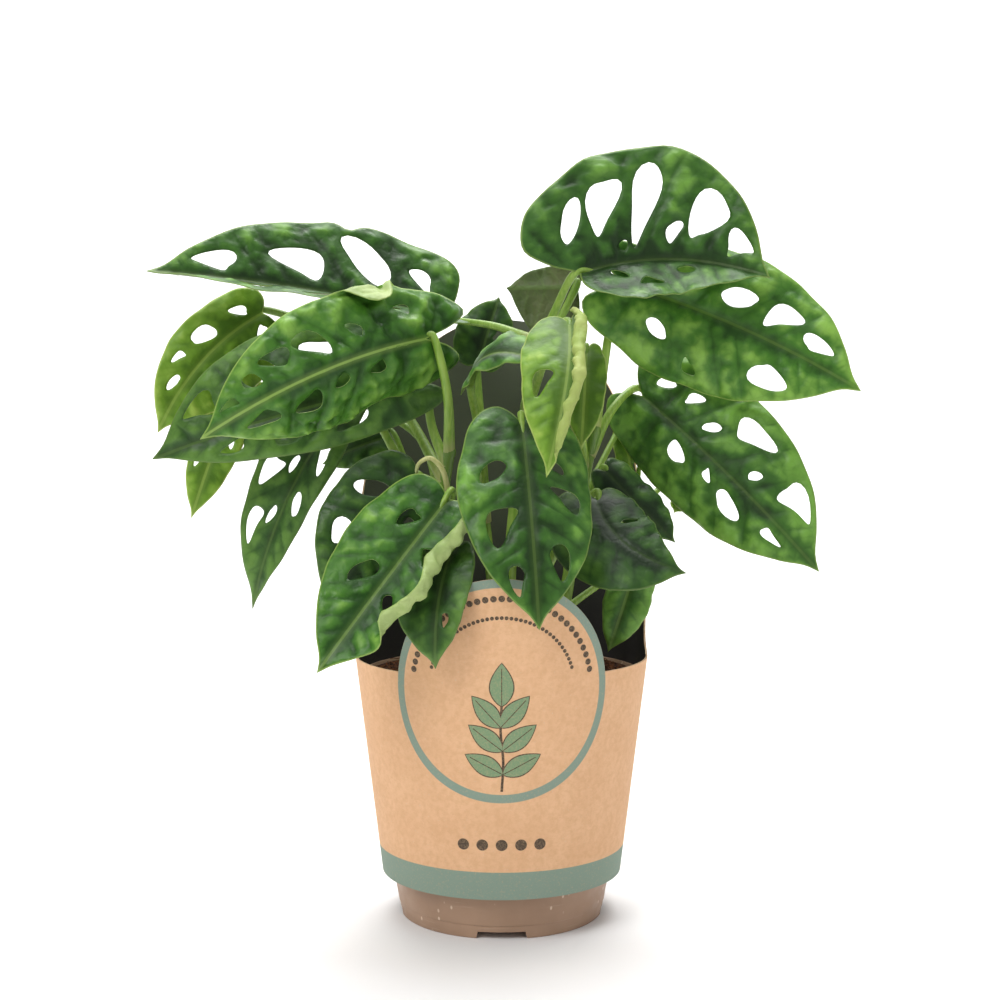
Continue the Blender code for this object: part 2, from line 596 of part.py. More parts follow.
class Blade:
    """Places points of a leaf's flat pattern on its arched, folded blade."""

    def __init__(self, leaf):
        self.leaf = leaf
        self.base = np.array(leaf.base, float) * MM
        self.tip = np.array(leaf.tip, float) * MM
        self.widths = np.array(leaf.widths, float) * MM
        chord = self.tip - self.base
        self.length = float(np.linalg.norm(chord))
        self.chord = chord / self.length
        front = np.array((0.0, -1.0, 0.0))
        face = front - self.chord * front.dot(self.chord)
        self.face = turn_about(face / np.linalg.norm(face), self.chord, leaf.roll)
        side = np.cross(self.face, self.chord)
        middle = (self.base + self.tip) / 2
        self.control = middle + 2 * MM * (leaf.bow * self.face + leaf.sway * side)

    def midrib(self, t):
        """The midrib's place at a share of its length."""
        return (1 - t) ** 2 * self.base + 2 * t * (1 - t) * self.control + t**2 * self.tip

    def frame(self, t):
        """The directions ahead, to the left and up at a place along the midrib."""
        ahead = 2 * (1 - t) * (self.control - self.base) + 2 * t * (self.tip - self.control)
        ahead = ahead / np.linalg.norm(ahead)
        up = self.face - ahead * self.face.dot(ahead)
        up = up / np.linalg.norm(up)
        return ahead, np.cross(up, ahead), up

    def place(self, t, across):
        """The place in space of a flat point: across is in metres, positive to the left."""
        leaf = self.leaf
        half = 0 if across >= 0 else 1
        reach = abs(across)
        share = reach / self.widths[half]
        mids = (np.arange(CROSS_STEPS) + 0.5) / CROSS_STEPS * share
        hem = np.clip((mids - HEM_START) / (1 - HEM_START), 0, 1)
        angles = np.radians(leaf.fold[half] - leaf.curl[half] * mids + leaf.hem[half] * hem)
        out = np.cos(angles).mean() * reach
        lift = np.sin(angles).mean() * reach
        ripple = math.sin(2 * math.pi * (WAVE_COUNT * t + WAVE_OFFSET * half))
        lift += leaf.wave * MM * min(1.0, share) ** 2 * ripple
        ahead, left, up = self.frame(t)
        return self.midrib(t) + left * (out if half == 0 else -out) + up * lift


def turn_about(vector, axis, degrees):
    """A vector turned about a unit axis."""
    angle = math.radians(degrees)
    return (
        vector * math.cos(angle)
        + np.cross(axis, vector) * math.sin(angle)
        + axis * axis.dot(vector) * (1 - math.cos(angle))
    )


def fine_outline(lobe):
    """The half outline as a fine curve, with the lobe behind the petiole made longer by lobe."""
    knots = [(t * lobe if t < 0 else t, width) for t, width in HALF_OUTLINE]
    return smooth_path(knots, CURVE_POINTS)


def half_outline(lobe, count):
    """Points of a half outline from the petiole to the tip, evenly spread along it."""
    fine = fine_outline(lobe)
    gaps = np.hypot(*np.diff(fine, axis=0).T * np.array([[1.0], [0.4]]))
    run = np.concatenate([[0], np.cumsum(gaps)])
    picks = np.linspace(0, run[-1], count)
    return np.column_stack([np.interp(picks, run, fine[:, k]) for k in (0, 1)])


def half_width(lobe, t):
    """The outline's half width at a place along the midrib, ahead of the lobes."""
    fine = fine_outline(lobe)
    start = int(np.argmin(fine[:, 0]))
    ahead = fine[start:]
    return float(np.interp(t, ahead[:, 0], ahead[:, 1]))


def hole_loop(blade, half, hole):
    """A hole's rim in the flat pattern: an egg that slants forward as the side veins do."""
    place, inner, outer, width = hole
    middle = (inner + outer) / 2
    loop = []
    for i in range(HOLE_POINTS):
        angle = 2 * math.pi * i / HOLE_POINTS
        along = -math.cos(angle)
        share = middle + (outer - inner) / 2 * along
        aside = 0.5 * width * math.sin(angle) * (1 + HOLE_EGG * along)
        t = place + VEIN_SLANT * (share - middle) + aside
        across = share * half_width(blade.leaf.lobe[half], t) * blade.widths[half]
        loop.append((t, across if half == 0 else -across))
    return loop


def inside(point, loop):
    """Whether a flat point lies inside a loop."""
    x, y = point
    found = False
    for (ax, ay), (bx, by) in zip(loop, loop[1:] + loop[:1]):
        if (ay > y) != (by > y) and x < (bx - ax) * (y - ay) / (by - ay) + ax:
            found = not found
    return found


def near(point, loops, reach):
    """Whether a flat point lies within reach of a loop's points or edges."""
    place = Vector((*point, 0))
    for loop in loops:
        for a, b in zip(loop, loop[1:] + loop[:1]):
            start = Vector((*a, 0))
            edge = Vector((*b, 0)) - start
            share = max(0.0, min(1.0, (place - start).dot(edge) / max(edge.length_squared, 1e-12)))
            if (place - start - edge * share).length < reach:
                return True
    return False


def flat_pattern(blade):
    """The blade's flat pattern cut into triangles: flat points as (t, across), and faces."""
    leaf = blade.leaf
    holes = HOLES.get(leaf.name, ((), ()))
    count = OUTLINE_POINTS // 2
    left = half_outline(leaf.lobe[0], count) * (blade.length, blade.widths[0])
    right = half_outline(leaf.lobe[1], count) * (blade.length, -blade.widths[1])
    rim = [tuple(p) for p in left] + [tuple(p) for p in right[-2:0:-1]]
    loops = [hole_loop(blade, half, hole) for half in (0, 1) for hole in holes[half]]
    loops = [[(t * blade.length, across) for t, across in loop] for loop in loops]
    stations = np.linspace(0, 1, MIDRIB_STATIONS + 2)[1:-1]
    rib = [(t * blade.length, 0.0) for t in stations]
    grid = []
    for i in range(-GRID_REACH, GRID_REACH + 1):
        for j in range(-GRID_REACH, GRID_REACH + 1):
            point = (blade.length / 2 + (i + 0.5 * (j % 2)) * GRID, (j + 0.5) * GRID_ROW)
            clear = not near(point, [rim] + loops, GRID_MARGIN)
            if clear and inside(point, rim) and not any(inside(point, s) for s in loops):
                grid.append(point)
    points = list(rim)
    edges = [(i, (i + 1) % len(points)) for i in range(len(points))]
    for loop in loops:
        start = len(points)
        points += loop
        edges += [(start + i, start + (i + 1) % len(loop)) for i in range(len(loop))]
    start = len(points)
    points += rib
    tip_index = count - 1
    chain = [0] + list(range(start, len(points))) + [tip_index]
    edges += list(zip(chain, chain[1:]))
    points += grid
    made, _, triangles, _, _, _ = geometry.delaunay_2d_cdt(
        [Vector(p) for p in points], edges, [], 0, 1e-7
    )
    kept = []
    for face in triangles:
        centre = sum((made[i] for i in face), Vector((0, 0))) / len(face)
        if inside(centre, rim) and not any(inside(centre, s) for s in loops):
            kept.append(tuple(face))
    return [(p.x / blade.length, p.y) for p in made], kept


def build_leaf(leaf, vines, parts, cutters):
    """A leaf: the thick blade and its petiole joined, and cut clear of the vine."""
    blade = Blade(leaf)
    pattern, faces = flat_pattern(blade)
    points = [blade.place(t, across) for t, across in pattern]
    sheet = mesh_from(leaf.name, points, faces)
    obj = new_object(leaf.name, sheet, parts, leaf.tone)
    thick = obj.modifiers.new("thickness", "SOLIDIFY")
    thick.thickness = BLADE
    thick.offset = 0
    obj = evaluated_copy(obj, leaf.name, parts)
    petiole = build_petiole(leaf, blade, vines[leaf.vine], parts)
    as_cutter(petiole, cutters)
    boolean(obj, petiole, "UNION")
    boolean(obj, vines[leaf.vine]["cutter"], "DIFFERENCE")
    evaluated_copy(obj, leaf.name, parts)
    bpy.data.objects.remove(petiole, do_unlink=True)


def build_petiole(leaf, blade, vine, parts):
    """The petiole, from the middle of the vine to a keel under the blade's base."""
    radius = leaf.petiole * MM
    path = vine["path"]
    index = leaf.height * (len(path) - 1)
    low = int(min(index, len(path) - 2))
    root = path[low] + (path[low + 1] - path[low]) * (index - low)
    ahead, _, up = blade.frame(0.0)
    rise = leaf.rise * MM
    lift = np.array((0.0, 0.0, 1.0))
    if leaf.via:
        knots = [root] + [np.array(p) * MM for p in leaf.via]
    else:
        reach = blade.base - root
        knots = [root, root + 0.45 * reach + 0.35 * rise * lift]
    seat = blade.base - up * (BLADE / 2 + KEEL_SINK)
    knots.append(seat - ahead * 0.3 * rise + lift * 0.2 * rise)
    run = smooth_path(knots, PETIOLE_POINTS)
    keel = []
    for t in KEEL_STATIONS:
        _, _, above = blade.frame(t)
        keel.append(blade.midrib(t) - above * (BLADE / 2 + KEEL_SINK))
    points = list(run) + keel
    shares = list(np.linspace(PETIOLE_ROOT_SHARE, PETIOLE_END_SHARE, len(run))) + list(KEEL_SHARES)
    radii = [radius * share for share in shares]
    return tube(leaf.name + "_petiole", points, radii, PETIOLE_SIDES_RESOLUTION, parts)


def main():
    clear_scene()
    parts = new_collection("monstera_adansonii")
    cutters = new_collection("cutters", hidden=True)
    build_pot(parts, cutters)
    soil = build_soil(parts)
    build_sleeve(parts)
    vines = {}
    for vine in VINES:
        path, radii = build_vine(vine, parts)
        cutter = vine_cutter(vine.name, path, radii, cutters)
        boolean(soil, cutter, "DIFFERENCE")
        vines[vine.name] = {"path": path, "cutter": cutter}
    for leaf in LEAVES:
        build_leaf(leaf, vines, parts, cutters)
    for obj in parts.objects:
        obj.data.shade_smooth()
        obj.data.set_sharp_from_angle(angle=math.radians(SMOOTH_ANGLE))


main()
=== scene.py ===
"""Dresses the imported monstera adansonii, its nursery pot and its board sleeve.

Tables of sizes are in millimetres and degrees, and meshes are in metres. The frame is +Z up with
the front towards -Y. Each leaf is remade finer on the same midrib, width and folds as its solid,
and gets its veins, its puckered cells and its thin pale margin.
"""

import logging
import math
from dataclasses import dataclass
from enum import Enum

import bpy
import numpy as np
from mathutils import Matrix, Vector, geometry, noise


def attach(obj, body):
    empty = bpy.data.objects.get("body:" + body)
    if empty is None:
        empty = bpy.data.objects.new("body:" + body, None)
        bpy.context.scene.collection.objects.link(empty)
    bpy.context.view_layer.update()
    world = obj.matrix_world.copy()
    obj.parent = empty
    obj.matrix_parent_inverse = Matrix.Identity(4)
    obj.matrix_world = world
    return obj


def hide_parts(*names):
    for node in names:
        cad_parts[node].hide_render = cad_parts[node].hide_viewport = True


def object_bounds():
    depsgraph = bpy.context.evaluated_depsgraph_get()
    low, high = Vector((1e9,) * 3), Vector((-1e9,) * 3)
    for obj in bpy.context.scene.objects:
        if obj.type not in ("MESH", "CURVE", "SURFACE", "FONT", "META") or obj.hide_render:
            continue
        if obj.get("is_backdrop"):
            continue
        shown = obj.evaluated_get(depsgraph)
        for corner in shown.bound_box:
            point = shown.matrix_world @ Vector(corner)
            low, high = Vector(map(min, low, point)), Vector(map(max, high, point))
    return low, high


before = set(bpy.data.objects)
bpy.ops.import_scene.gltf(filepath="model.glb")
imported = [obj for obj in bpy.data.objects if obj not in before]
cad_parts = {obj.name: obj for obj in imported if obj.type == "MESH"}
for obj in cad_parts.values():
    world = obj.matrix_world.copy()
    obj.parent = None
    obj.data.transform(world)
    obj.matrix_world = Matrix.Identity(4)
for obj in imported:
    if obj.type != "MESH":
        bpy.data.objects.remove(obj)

MM = 0.001
CM_PER_M = 100.0
ROOT_BODY = "root"
Array = np.ndarray
Mesh = bpy.types.Mesh
Object = bpy.types.Object
Material = bpy.types.Material
Socket = bpy.types.NodeSocket
Colour = tuple[float, float, float]
Table = tuple[tuple[float, ...], ...]
log = logging.getLogger("monstera")


class Tone(Enum):
    """The record's material slots that leaves take their finish from."""

    GREEN = "leaf_green"
    DARK = "leaf_dark"
    BRIGHT = "leaf_bright"
    YOUNG = "leaf_young"


class Half(Enum):
    """The halves of a blade, seen from above with the tip ahead."""

    LEFT = 0
    RIGHT = 1

    @property
    def sign(self) -> int:
        """The side of the midrib that it lies on, 1 to the left and -1 to the right."""
        return 1 - 2 * self.value


def colour(red: int, green: int, blue: int) -> Colour:
    """Turns a screen colour, each part 0 to 255, into linear light."""
    parts = (value / 255 for value in (red, green, blue))
    return tuple(v / 12.92 if v <= 0.04045 else ((v + 0.055) / 1.055) ** 2.4 for v in parts)


def smooth_step(values: Array, low: float, high: float) -> Array:
    """A smooth rise from 0 at low to 1 at high, which may be below low."""
    share = np.clip((values - low) / (high - low), 0.0, 1.0)
    return share * share * (3 - 2 * share)


def bell(values: Array, width: float) -> Array:
    """A smooth bump, 1 at 0 and about a third at the width."""
    return np.exp(-((values / width) ** 2))


def smooth_path(knots: Array | list, count: int) -> Array:
    """Points at even steps on a Catmull-Rom curve through the knots.

    Args:
        knots: The places that the curve passes through.
        count: The number of points.

    Returns:
        The points, one a row.
    """
    knots = np.array(knots, float)
    padded = np.vstack([2 * knots[0] - knots[1], knots, 2 * knots[-1] - knots[-2]])
    places = []
    for value in np.linspace(0, len(knots) - 1 - 1e-9, count):
        i = int(value)
        u = value - i
        a, b, c, d = padded[i : i + 4]
        places.append(
            0.5 * (2 * b + (c - a) * u + (2 * a - 5 * b + 4 * c - d) * u**2)
            + 0.5 * (3 * b - a - 3 * c + d) * u**3
        )
    return np.array(places)


def turn_about(vector: Array, axis: Array, degrees: float) -> Array:
    """Turns a vector about a unit axis.

    Args:
        vector: The vector.
        axis: The unit axis.
        degrees: The angle.

    Returns:
        The turned vector.
    """
    angle = math.radians(degrees)
    return (
        vector * math.cos(angle)
        + np.cross(axis, vector) * math.sin(angle)
        + axis * axis.dot(vector) * (1 - math.cos(angle))
    )


def inside(points: Array, loop: Array) -> Array:
    """Tells which flat points lie inside a loop.

    Args:
        points: The points, one a row.
        loop: The loop's corners, one a row.

    Returns:
        True for each point inside.
    """
    found = np.zeros(len(points), bool)
    x, y = points[:, 0], points[:, 1]
    for (ax, ay), (bx, by) in zip(loop, np.roll(loop, -1, axis=0)):
        if ay == by:
            continue
        crosses = ((ay > y) != (by > y)) & (x < (bx - ax) * (y - ay) / (by - ay) + ax)
        found ^= crosses
    return found


def in_sheet(points: Array, loops: list[Array]) -> Array:
    """Tells which flat points lie in the first loop and in none of the others."""
    found = inside(points, loops[0])
    for loop in loops[1:]:
        found &= ~inside(points, loop)
    return found


def distance_to_loops(points: Array, loops: list[Array]) -> Array:
    """Each flat point's distance to the nearest edge of any loop.

    Args:
        points: The points, one a row.
        loops: The loops, each with one corner a row.

    Returns:
        The distances.
    """
    best = np.full(len(points), np.inf)
    for loop in loops:
        for start, end in zip(loop, np.roll(loop, -1, axis=0)):
            edge = end - start
            share = np.clip((points - start) @ edge / max(float(edge @ edge), 1e-12), 0, 1)
            gap = points - start - share[:, None] * edge
            best = np.minimum(best, np.hypot(gap[:, 0], gap[:, 1]))
    return best


def loop_edges(start: int, count: int) -> list[tuple[int, int]]:
    """The edges that join a run of points into a loop."""
    return [(start + i, start + (i + 1) % count) for i in range(count)]


def cut_sheet(points: list, edges: list[tuple[int, int]], loops: list[Array],
              tolerance: float) -> tuple[Array, list[tuple[int, ...]]]:
    """Cuts a flat sheet with holes into triangles.

    Args:
        points: The flat points, among them those of the loops.
        edges: The pairs of points that stay joined.
        loops: The outline, then the holes.
        tolerance: The distance at which two points are taken as one.

    Returns:
        The points, one a row, and the triangles.
    """
    made, _, triangles, _, _, _ = geometry.delaunay_2d_cdt(
        [Vector(point) for point in points], edges, [], 0, tolerance
    )
    spots = np.array([(point.x, point.y) for point in made])
    solid = in_sheet(spots[np.array(triangles)].mean(axis=1), loops)
    return spots, [tuple(face) for face, kept in zip(triangles, solid) if kept]


def close_sheet(faces: list[tuple[int, ...]], count: int) -> tuple[list, list]:
    """The faces that make a closed shell of a sheet whose points are given twice.

    Args:
        faces: The upper side's faces.
        count: The number of points on the upper side.

    Returns:
        The underside's faces, and those of the rim.
    """
    directed = {(a, b) for face in faces for a, b in zip(face, face[1:] + face[:1])}
    rim = sorted((a, b) for a, b in directed if (b, a) not in directed)
    under = [tuple(count + i for i in reversed(face)) for face in faces]
    return under, [(b, a, count + a, count + b) for a, b in rim]


class NodeMaker:
    """Adds and links the nodes of one tree."""

    def __init__(self, tree: bpy.types.NodeTree) -> None:
        """Keeps the tree."""
        self.tree = tree

    def add(self, kind: str, inputs: dict | None = None, **settings: object) -> bpy.types.Node:
        """Adds a node, sets it and feeds its sockets.

        Args:
            kind: The node's type name.
            inputs: A socket or a value for each input, by name or number.
            **settings: The node's own settings.

        Returns:
            The node.
        """
        node = self.tree.nodes.new(kind)
        for key, value in settings.items():
            setattr(node, key, value)
        for key, value in (inputs or {}).items():
            self.feed(node.inputs[key], value)
        return node

    def feed(self, socket: Socket, value: object) -> None:
        """Links a socket to an input, or sets the input's value.

        Args:
            socket: The input.
            value: A socket, a number or a colour, or None to leave the input as it is.
        """
        if isinstance(value, Socket):
            self.tree.links.new(value, socket)
        elif isinstance(value, tuple) and socket.type == "RGBA":
            socket.default_value = (*value, 1.0)
        elif value is not None:
            socket.default_value = value


class Graph(NodeMaker):
    """The nodes of one material around its Principled shader."""

    def __init__(self, name: str, rough: float, specular: float = 0.5) -> None:
        """Starts a material.

        Args:
            name: The material's name.
            rough: The roughness, where nothing is linked to it.
            specular: The specular level.
        """
        self.material = bpy.data.materials.new(name)
        self.material.use_nodes = True
        super().__init__(self.material.node_tree)
        self.shader = self.tree.nodes["Principled BSDF"]
        self.shader.inputs["Roughness"].default_value = rough
        self.shader.inputs["Specular IOR Level"].default_value = specular

    def math(self, operation: str, a: object, b: object = 0.0) -> Socket:
        """The result of a Math node's operation on numbers or sockets."""
        return self.add("ShaderNodeMath", {0: a, 1: b}, operation=operation).outputs[0]

    def times(self, a: object, b: object) -> Socket:
        """The product of two numbers or sockets."""
        return self.math("MULTIPLY", a, b)

    def total(self, *parts: tuple[Socket, float]) -> Socket:
        """The weighted sum of some numbers, each given with its weight."""
        result = self.times(*parts[0])
        for part in parts[1:]:
            result = self.math("ADD", result, self.times(*part))
        return result

    def rise(self, value: object, low: float, high: float, start: float = 0.0,
             end: float = 1.0) -> Socket:
        """A smooth step from start to end as the value goes from low to high."""
        inputs = {"Value": value, "From Min": low, "From Max": high, "To Min": start, "To Max": end}
        return self.add("ShaderNodeMapRange", inputs, interpolation_type="SMOOTHSTEP").outputs[0]

    def mix(self, share: object, a: object, b: object) -> Socket:
        """A mix of two colours, where the share is that of the second."""
        return self.add("ShaderNodeMix", {0: share, 6: a, 7: b}, data_type="RGBA").outputs[2]

    def noise(self, where: object, scale: float, detail: float = 2.0,
              rough: float = 0.5) -> Socket:
        """Smooth noise about 0.5, with this many features to a unit and some finer layers."""
        inputs = {"Vector": where, "Scale": scale, "Detail": detail, "Roughness": rough}
        return self.add("ShaderNodeTexNoise", inputs).outputs[0]

    def attribute(self, name: str) -> Socket:
        """A number stored on the mesh."""
        return self.add("ShaderNodeAttribute", attribute_name=name).outputs["Fac"]

    def place(self) -> Socket:
        """The object's own coordinates, in metres."""
        return self.add("ShaderNodeTexCoord").outputs["Object"]

    def axis(self, where: object, name: str) -> Socket:
        """The X, Y or Z of some coordinates."""
        return self.add("ShaderNodeSeparateXYZ", {0: where}).outputs[name]

    def map(self, name: str) -> Socket:
        """A UV map of the mesh."""
        return self.add("ShaderNodeUVMap", uv_map=name).outputs["UV"]

    def stretch(self, where: object, scale: tuple[float, float, float]) -> Socket:
        """Coordinates multiplied along each axis."""
        return self.add("ShaderNodeMapping", {"Vector": where, "Scale": scale}).outputs[0]

    def bump(self, height: object, depth: float, strength: float = 1.0,
             under: object = None) -> Socket:
        """A normal bent by a height from 0 to 1 that stands for a depth in metres."""
        inputs = {"Height": height, "Distance": depth, "Strength": strength, "Normal": under}
        return self.add("ShaderNodeBump", inputs).outputs[0]

    def finish(self, base: object, rough: object = None,
               normal: object = None) -> Material:
        """Links the colour, the roughness and the normal to the shader.

        Args:
            base: The colour or its socket.
            rough: The roughness's socket, if it varies.
            normal: The normal's socket, if it is bent.

        Returns:
            The material.
        """
        for name, value in (("Base Color", base), ("Roughness", rough), ("Normal", normal)):
            self.feed(self.shader.inputs[name], value)
        return self.material


@dataclass(frozen=True)
class LeafFinish:
    """The colours of one tone of leaf, upper side and underside."""

    tone: Tone
    deep: Colour
    middle: Colour
    light: Colour
    # Painted shade for the sunk veins on the upper side.
    vein: Colour
    rib: Colour
    margin: Colour
    under: Colour
    rough: float = 0.41

    def upper(self) -> Material:
        """The upper side: greens with painted light and shade on the puckers, sunk veins darkened
        with painted shade, a pale midrib and a pale margin.

        Returns:
            The material.
        """
        graph = Graph(self.tone.value + "_upper", self.rough, 0.28)
        where = graph.place()
        cloud = graph.noise(where, 34, 2)
        patch = graph.noise(where, 150, 2)
        cells, net = self.network(graph)
        # The stored painted highlight and painted shade of the puckers, random clouds, the fine cells
        # and the per-leaf shade, itself partly tone and partly painted light, set the green.
        tone = graph.total((graph.attribute("painted_light_and_tone"), 1.1), (cloud, 0.8), (patch, 0.14),
                           (cells, 0.05), (graph.attribute("shade"), 1.0))
        base = graph.mix(graph.rise(tone, 0.45, 0.95), self.deep, self.middle)
        base = graph.mix(graph.rise(tone, 0.85, 1.45), base, self.light)
        # Painted shade in the grooves of the fine veins and the side veins.
        base = graph.mix(graph.times(net, 0.07), base, self.vein)
        base = graph.mix(graph.times(self.lateral(graph), 0.17), base, self.vein)
        rib = graph.attribute("rib")
        # Painted shade in the groove beside the midrib.
        base = graph.mix(graph.rise(rib, 2.0, 0.8, 0.0, 0.28), base, self.vein)
        for near in (graph.rise(rib, 2.6, 0.8, 0.0, 0.3), graph.rise(rib, 0.8, 0.35)):
            paleness = graph.times(near, graph.attribute("pale"))
            base = graph.mix(paleness, base, self.rib)
        edge = graph.rise(graph.attribute("brim"), 0.75, 0.2, 0.0, 0.75)
        base = graph.mix(edge, base, self.margin)
        rough = graph.rise(graph.noise(where, 60, 3), 0.3, 0.7, self.rough - 0.06, self.rough + 0.1)
        fine = graph.bump(cells, 0.0002, 0.2)
        quilt = graph.bump(graph.noise(where, 260, 1), 0.0009, 0.24, fine)
        grain = graph.bump(graph.noise(where, 1500, 2), 0.00005, 0.4, quilt)
        return graph.finish(base, rough, grain)

    def lower(self) -> Material:
        """The underside: paler and duller, with raised pale veins.

        Returns:
            The material.
        """
        graph = Graph(self.tone.value + "_under", self.rough + 0.16, 0.35)
        where = graph.place()
        base = graph.mix(graph.rise(graph.noise(where, 60, 3), 0.3, 0.7, 0.0, 0.45),
                         self.under, self.middle)
        cells, net = self.network(graph)
        base = graph.mix(graph.times(net, 0.22), base, self.rib)
        base = graph.mix(graph.times(self.lateral(graph), 0.22), base, self.rib)
        base = graph.mix(graph.rise(graph.attribute("rib"), 1.2, 0.6, 0.0, 0.5), base, self.rib)
        base = graph.mix(graph.rise(graph.attribute("edge"), 0.5, 0.2, 0.0, 0.6), base, self.margin)
        return graph.finish(base, None, graph.bump(cells, 0.0003, 0.4))

    def rim(self) -> Material:
        """The thin cartilage along the margin and round the holes."""
        graph = Graph(self.tone.value + "_margin", self.rough + 0.1)
        spread = graph.rise(graph.noise(graph.place(), 300, 2), 0.35, 0.65, 0.0, 0.5)
        return graph.finish(graph.mix(spread, self.margin, self.middle))

    def lateral(self, graph: Graph) -> Socket:
        """How close a point is to a side vein, which fades out at the midrib and the margin.

        Args:
            graph: The material's graph.

        Returns:
            The closeness, 0 to 1.
        """
        beside = graph.math("PINGPONG", graph.attribute("cell"), 0.5)
        gap = graph.times(beside, graph.attribute("pitch"))
        wander = graph.times(graph.noise(graph.place(), 420, 1), 0.5)
        near = graph.rise(graph.math("SUBTRACT", gap, wander), 0.6, -0.1)
        return graph.times(near, graph.rise(graph.attribute("edge"), 0.6, 3.0))

    def network(self, graph: Graph) -> tuple[Socket, Socket]:
        """The net of fine veins between the side veins.

        Args:
            graph: The material's graph.

        Returns:
            The height of the cells between the veins, and the closeness to a vein.
        """
        inputs = {"Vector": graph.map("blade"), "Scale": 2.6, "Randomness": 0.85}
        cells = graph.add("ShaderNodeTexVoronoi", inputs, feature="DISTANCE_TO_EDGE").outputs[0]
        return graph.rise(cells, 0.0, 0.22), graph.rise(cells, 0.055, 0.0)


LEAF_FINISHES = (
    LeafFinish(Tone.GREEN, deep=colour(24, 52, 12), middle=colour(54, 96, 31),
               light=colour(108, 154, 62), vein=colour(32, 62, 16), rib=colour(132, 160, 80),
               margin=colour(128, 154, 76), under=colour(112, 132, 72)),
    LeafFinish(Tone.DARK, deep=colour(18, 40, 12), middle=colour(46, 80, 29),
               light=colour(90, 128, 52), vein=colour(26, 50, 16), rib=colour(96, 124, 60),
               margin=colour(98, 124, 62), under=colour(98, 106, 66)),
    LeafFinish(Tone.BRIGHT, deep=colour(28, 66, 12), middle=colour(64, 112, 34),
               light=colour(128, 172, 72), vein=colour(40, 78, 18), rib=colour(142, 172, 84),
               margin=colour(150, 178, 90), under=colour(168, 186, 118), rough=0.38),
    LeafFinish(Tone.YOUNG, deep=colour(70, 106, 20), middle=colour(106, 146, 40),
               light=colour(160, 190, 82), vein=colour(80, 120, 28), rib=colour(164, 188, 88),
               margin=colour(176, 196, 106), under=colour(172, 184, 106), rough=0.46),
)


@dataclass(frozen=True)
class StemFinish:
    """A waxy green stem, pale at its tip and striped along its length."""

    name: str = "stem_skin"
    pale: Colour = colour(164, 190, 88)
    green: Colour = colour(108, 148, 46)
    sheath: Colour = colour(176, 166, 118)
    joint: Colour = colour(76, 108, 40)
    rough: float = 0.42

    def material(self) -> Material:
        """The stem's material, which reads how far along the stem a point is.

        Returns:
            The material.
        """
        graph = Graph(self.name, self.rough)
        where = graph.place()
        run = graph.attribute("run")
        lines = graph.noise(graph.stretch(where, (900, 900, 40)), 1.0, 2)
        blotch = graph.noise(where, 120, 3)
        base = graph.mix(graph.rise(lines, 0.3, 0.7, 0.15, 0.6), self.green, self.pale)
        base = graph.mix(graph.rise(blotch, 0.45, 0.7, 0.0, 0.5), base, self.green)
        base = graph.mix(graph.rise(run, 0.12, 0.0, 0.0, 0.6), base, self.sheath)
        base = graph.mix(graph.rise(run, 0.72, 0.95, 0.0, 0.7), base, self.joint)
        return graph.finish(base, None, graph.bump(lines, 0.00012, 0.6))


@dataclass(frozen=True)
class SoilFinish:
    """Damp coconut fibre, from black-brown to rust."""

    name: str
    dark: Colour
    rust: Colour

    def material(self) -> Material:
        """The material, coarse at several scales."""
        graph = Graph(self.name, 0.95, 0.2)
        where = graph.place()
        base = graph.mix(graph.rise(graph.noise(where, 420, 4, 0.7), 0.35, 0.68), self.dark, self.rust)
        return graph.finish(base, None, graph.bump(graph.noise(where, 900, 4, 0.7), 0.0006, 0.8))


@dataclass(frozen=True)
class PotFinish:
    """Taupe recycled plastic with small light flecks."""

    name: str = "pot_plastic_flecked"
    base: Colour = colour(174, 142, 117)
    shade: Colour = colour(156, 125, 101)
    fleck: Colour = colour(224, 202, 178)
    rough: float = 0.46

    def material(self) -> Material:
        """The material, with flecks, a faint cloud and a fine moulded grain.

        Returns:
            The material.
        """
        graph = Graph(self.name, self.rough)
        where = graph.place()
        cloud = graph.rise(graph.noise(where, 26, 4, 0.6), 0.3, 0.7)
        base = graph.mix(cloud, self.base, self.shade)
        long = graph.stretch(where, (1.0, 1.0, 0.6))
        spots = graph.add("ShaderNodeTexVoronoi", {"Vector": long, "Scale": 400.0})
        chosen = graph.rise(graph.add("ShaderNodeSeparateColor", {0: spots.outputs["Color"]})
                            .outputs[0], 0.80, 0.86)
        dot = graph.times(graph.rise(spots.outputs["Distance"], 0.26, 0.12), chosen)
        base = graph.mix(graph.times(dot, 0.75), base, self.fleck)
        scuff = graph.noise(graph.stretch(where, (60, 60, 900)), 1.0, 3)
        base = graph.mix(graph.rise(scuff, 0.62, 0.8, 0.0, 0.18), base, self.fleck)
        rough = graph.rise(graph.noise(where, 160, 3), 0.3, 0.7, self.rough - 0.06, self.rough + 0.1)
        return graph.finish(base, rough, graph.bump(graph.noise(where, 2600, 2), 0.00004, 0.6))


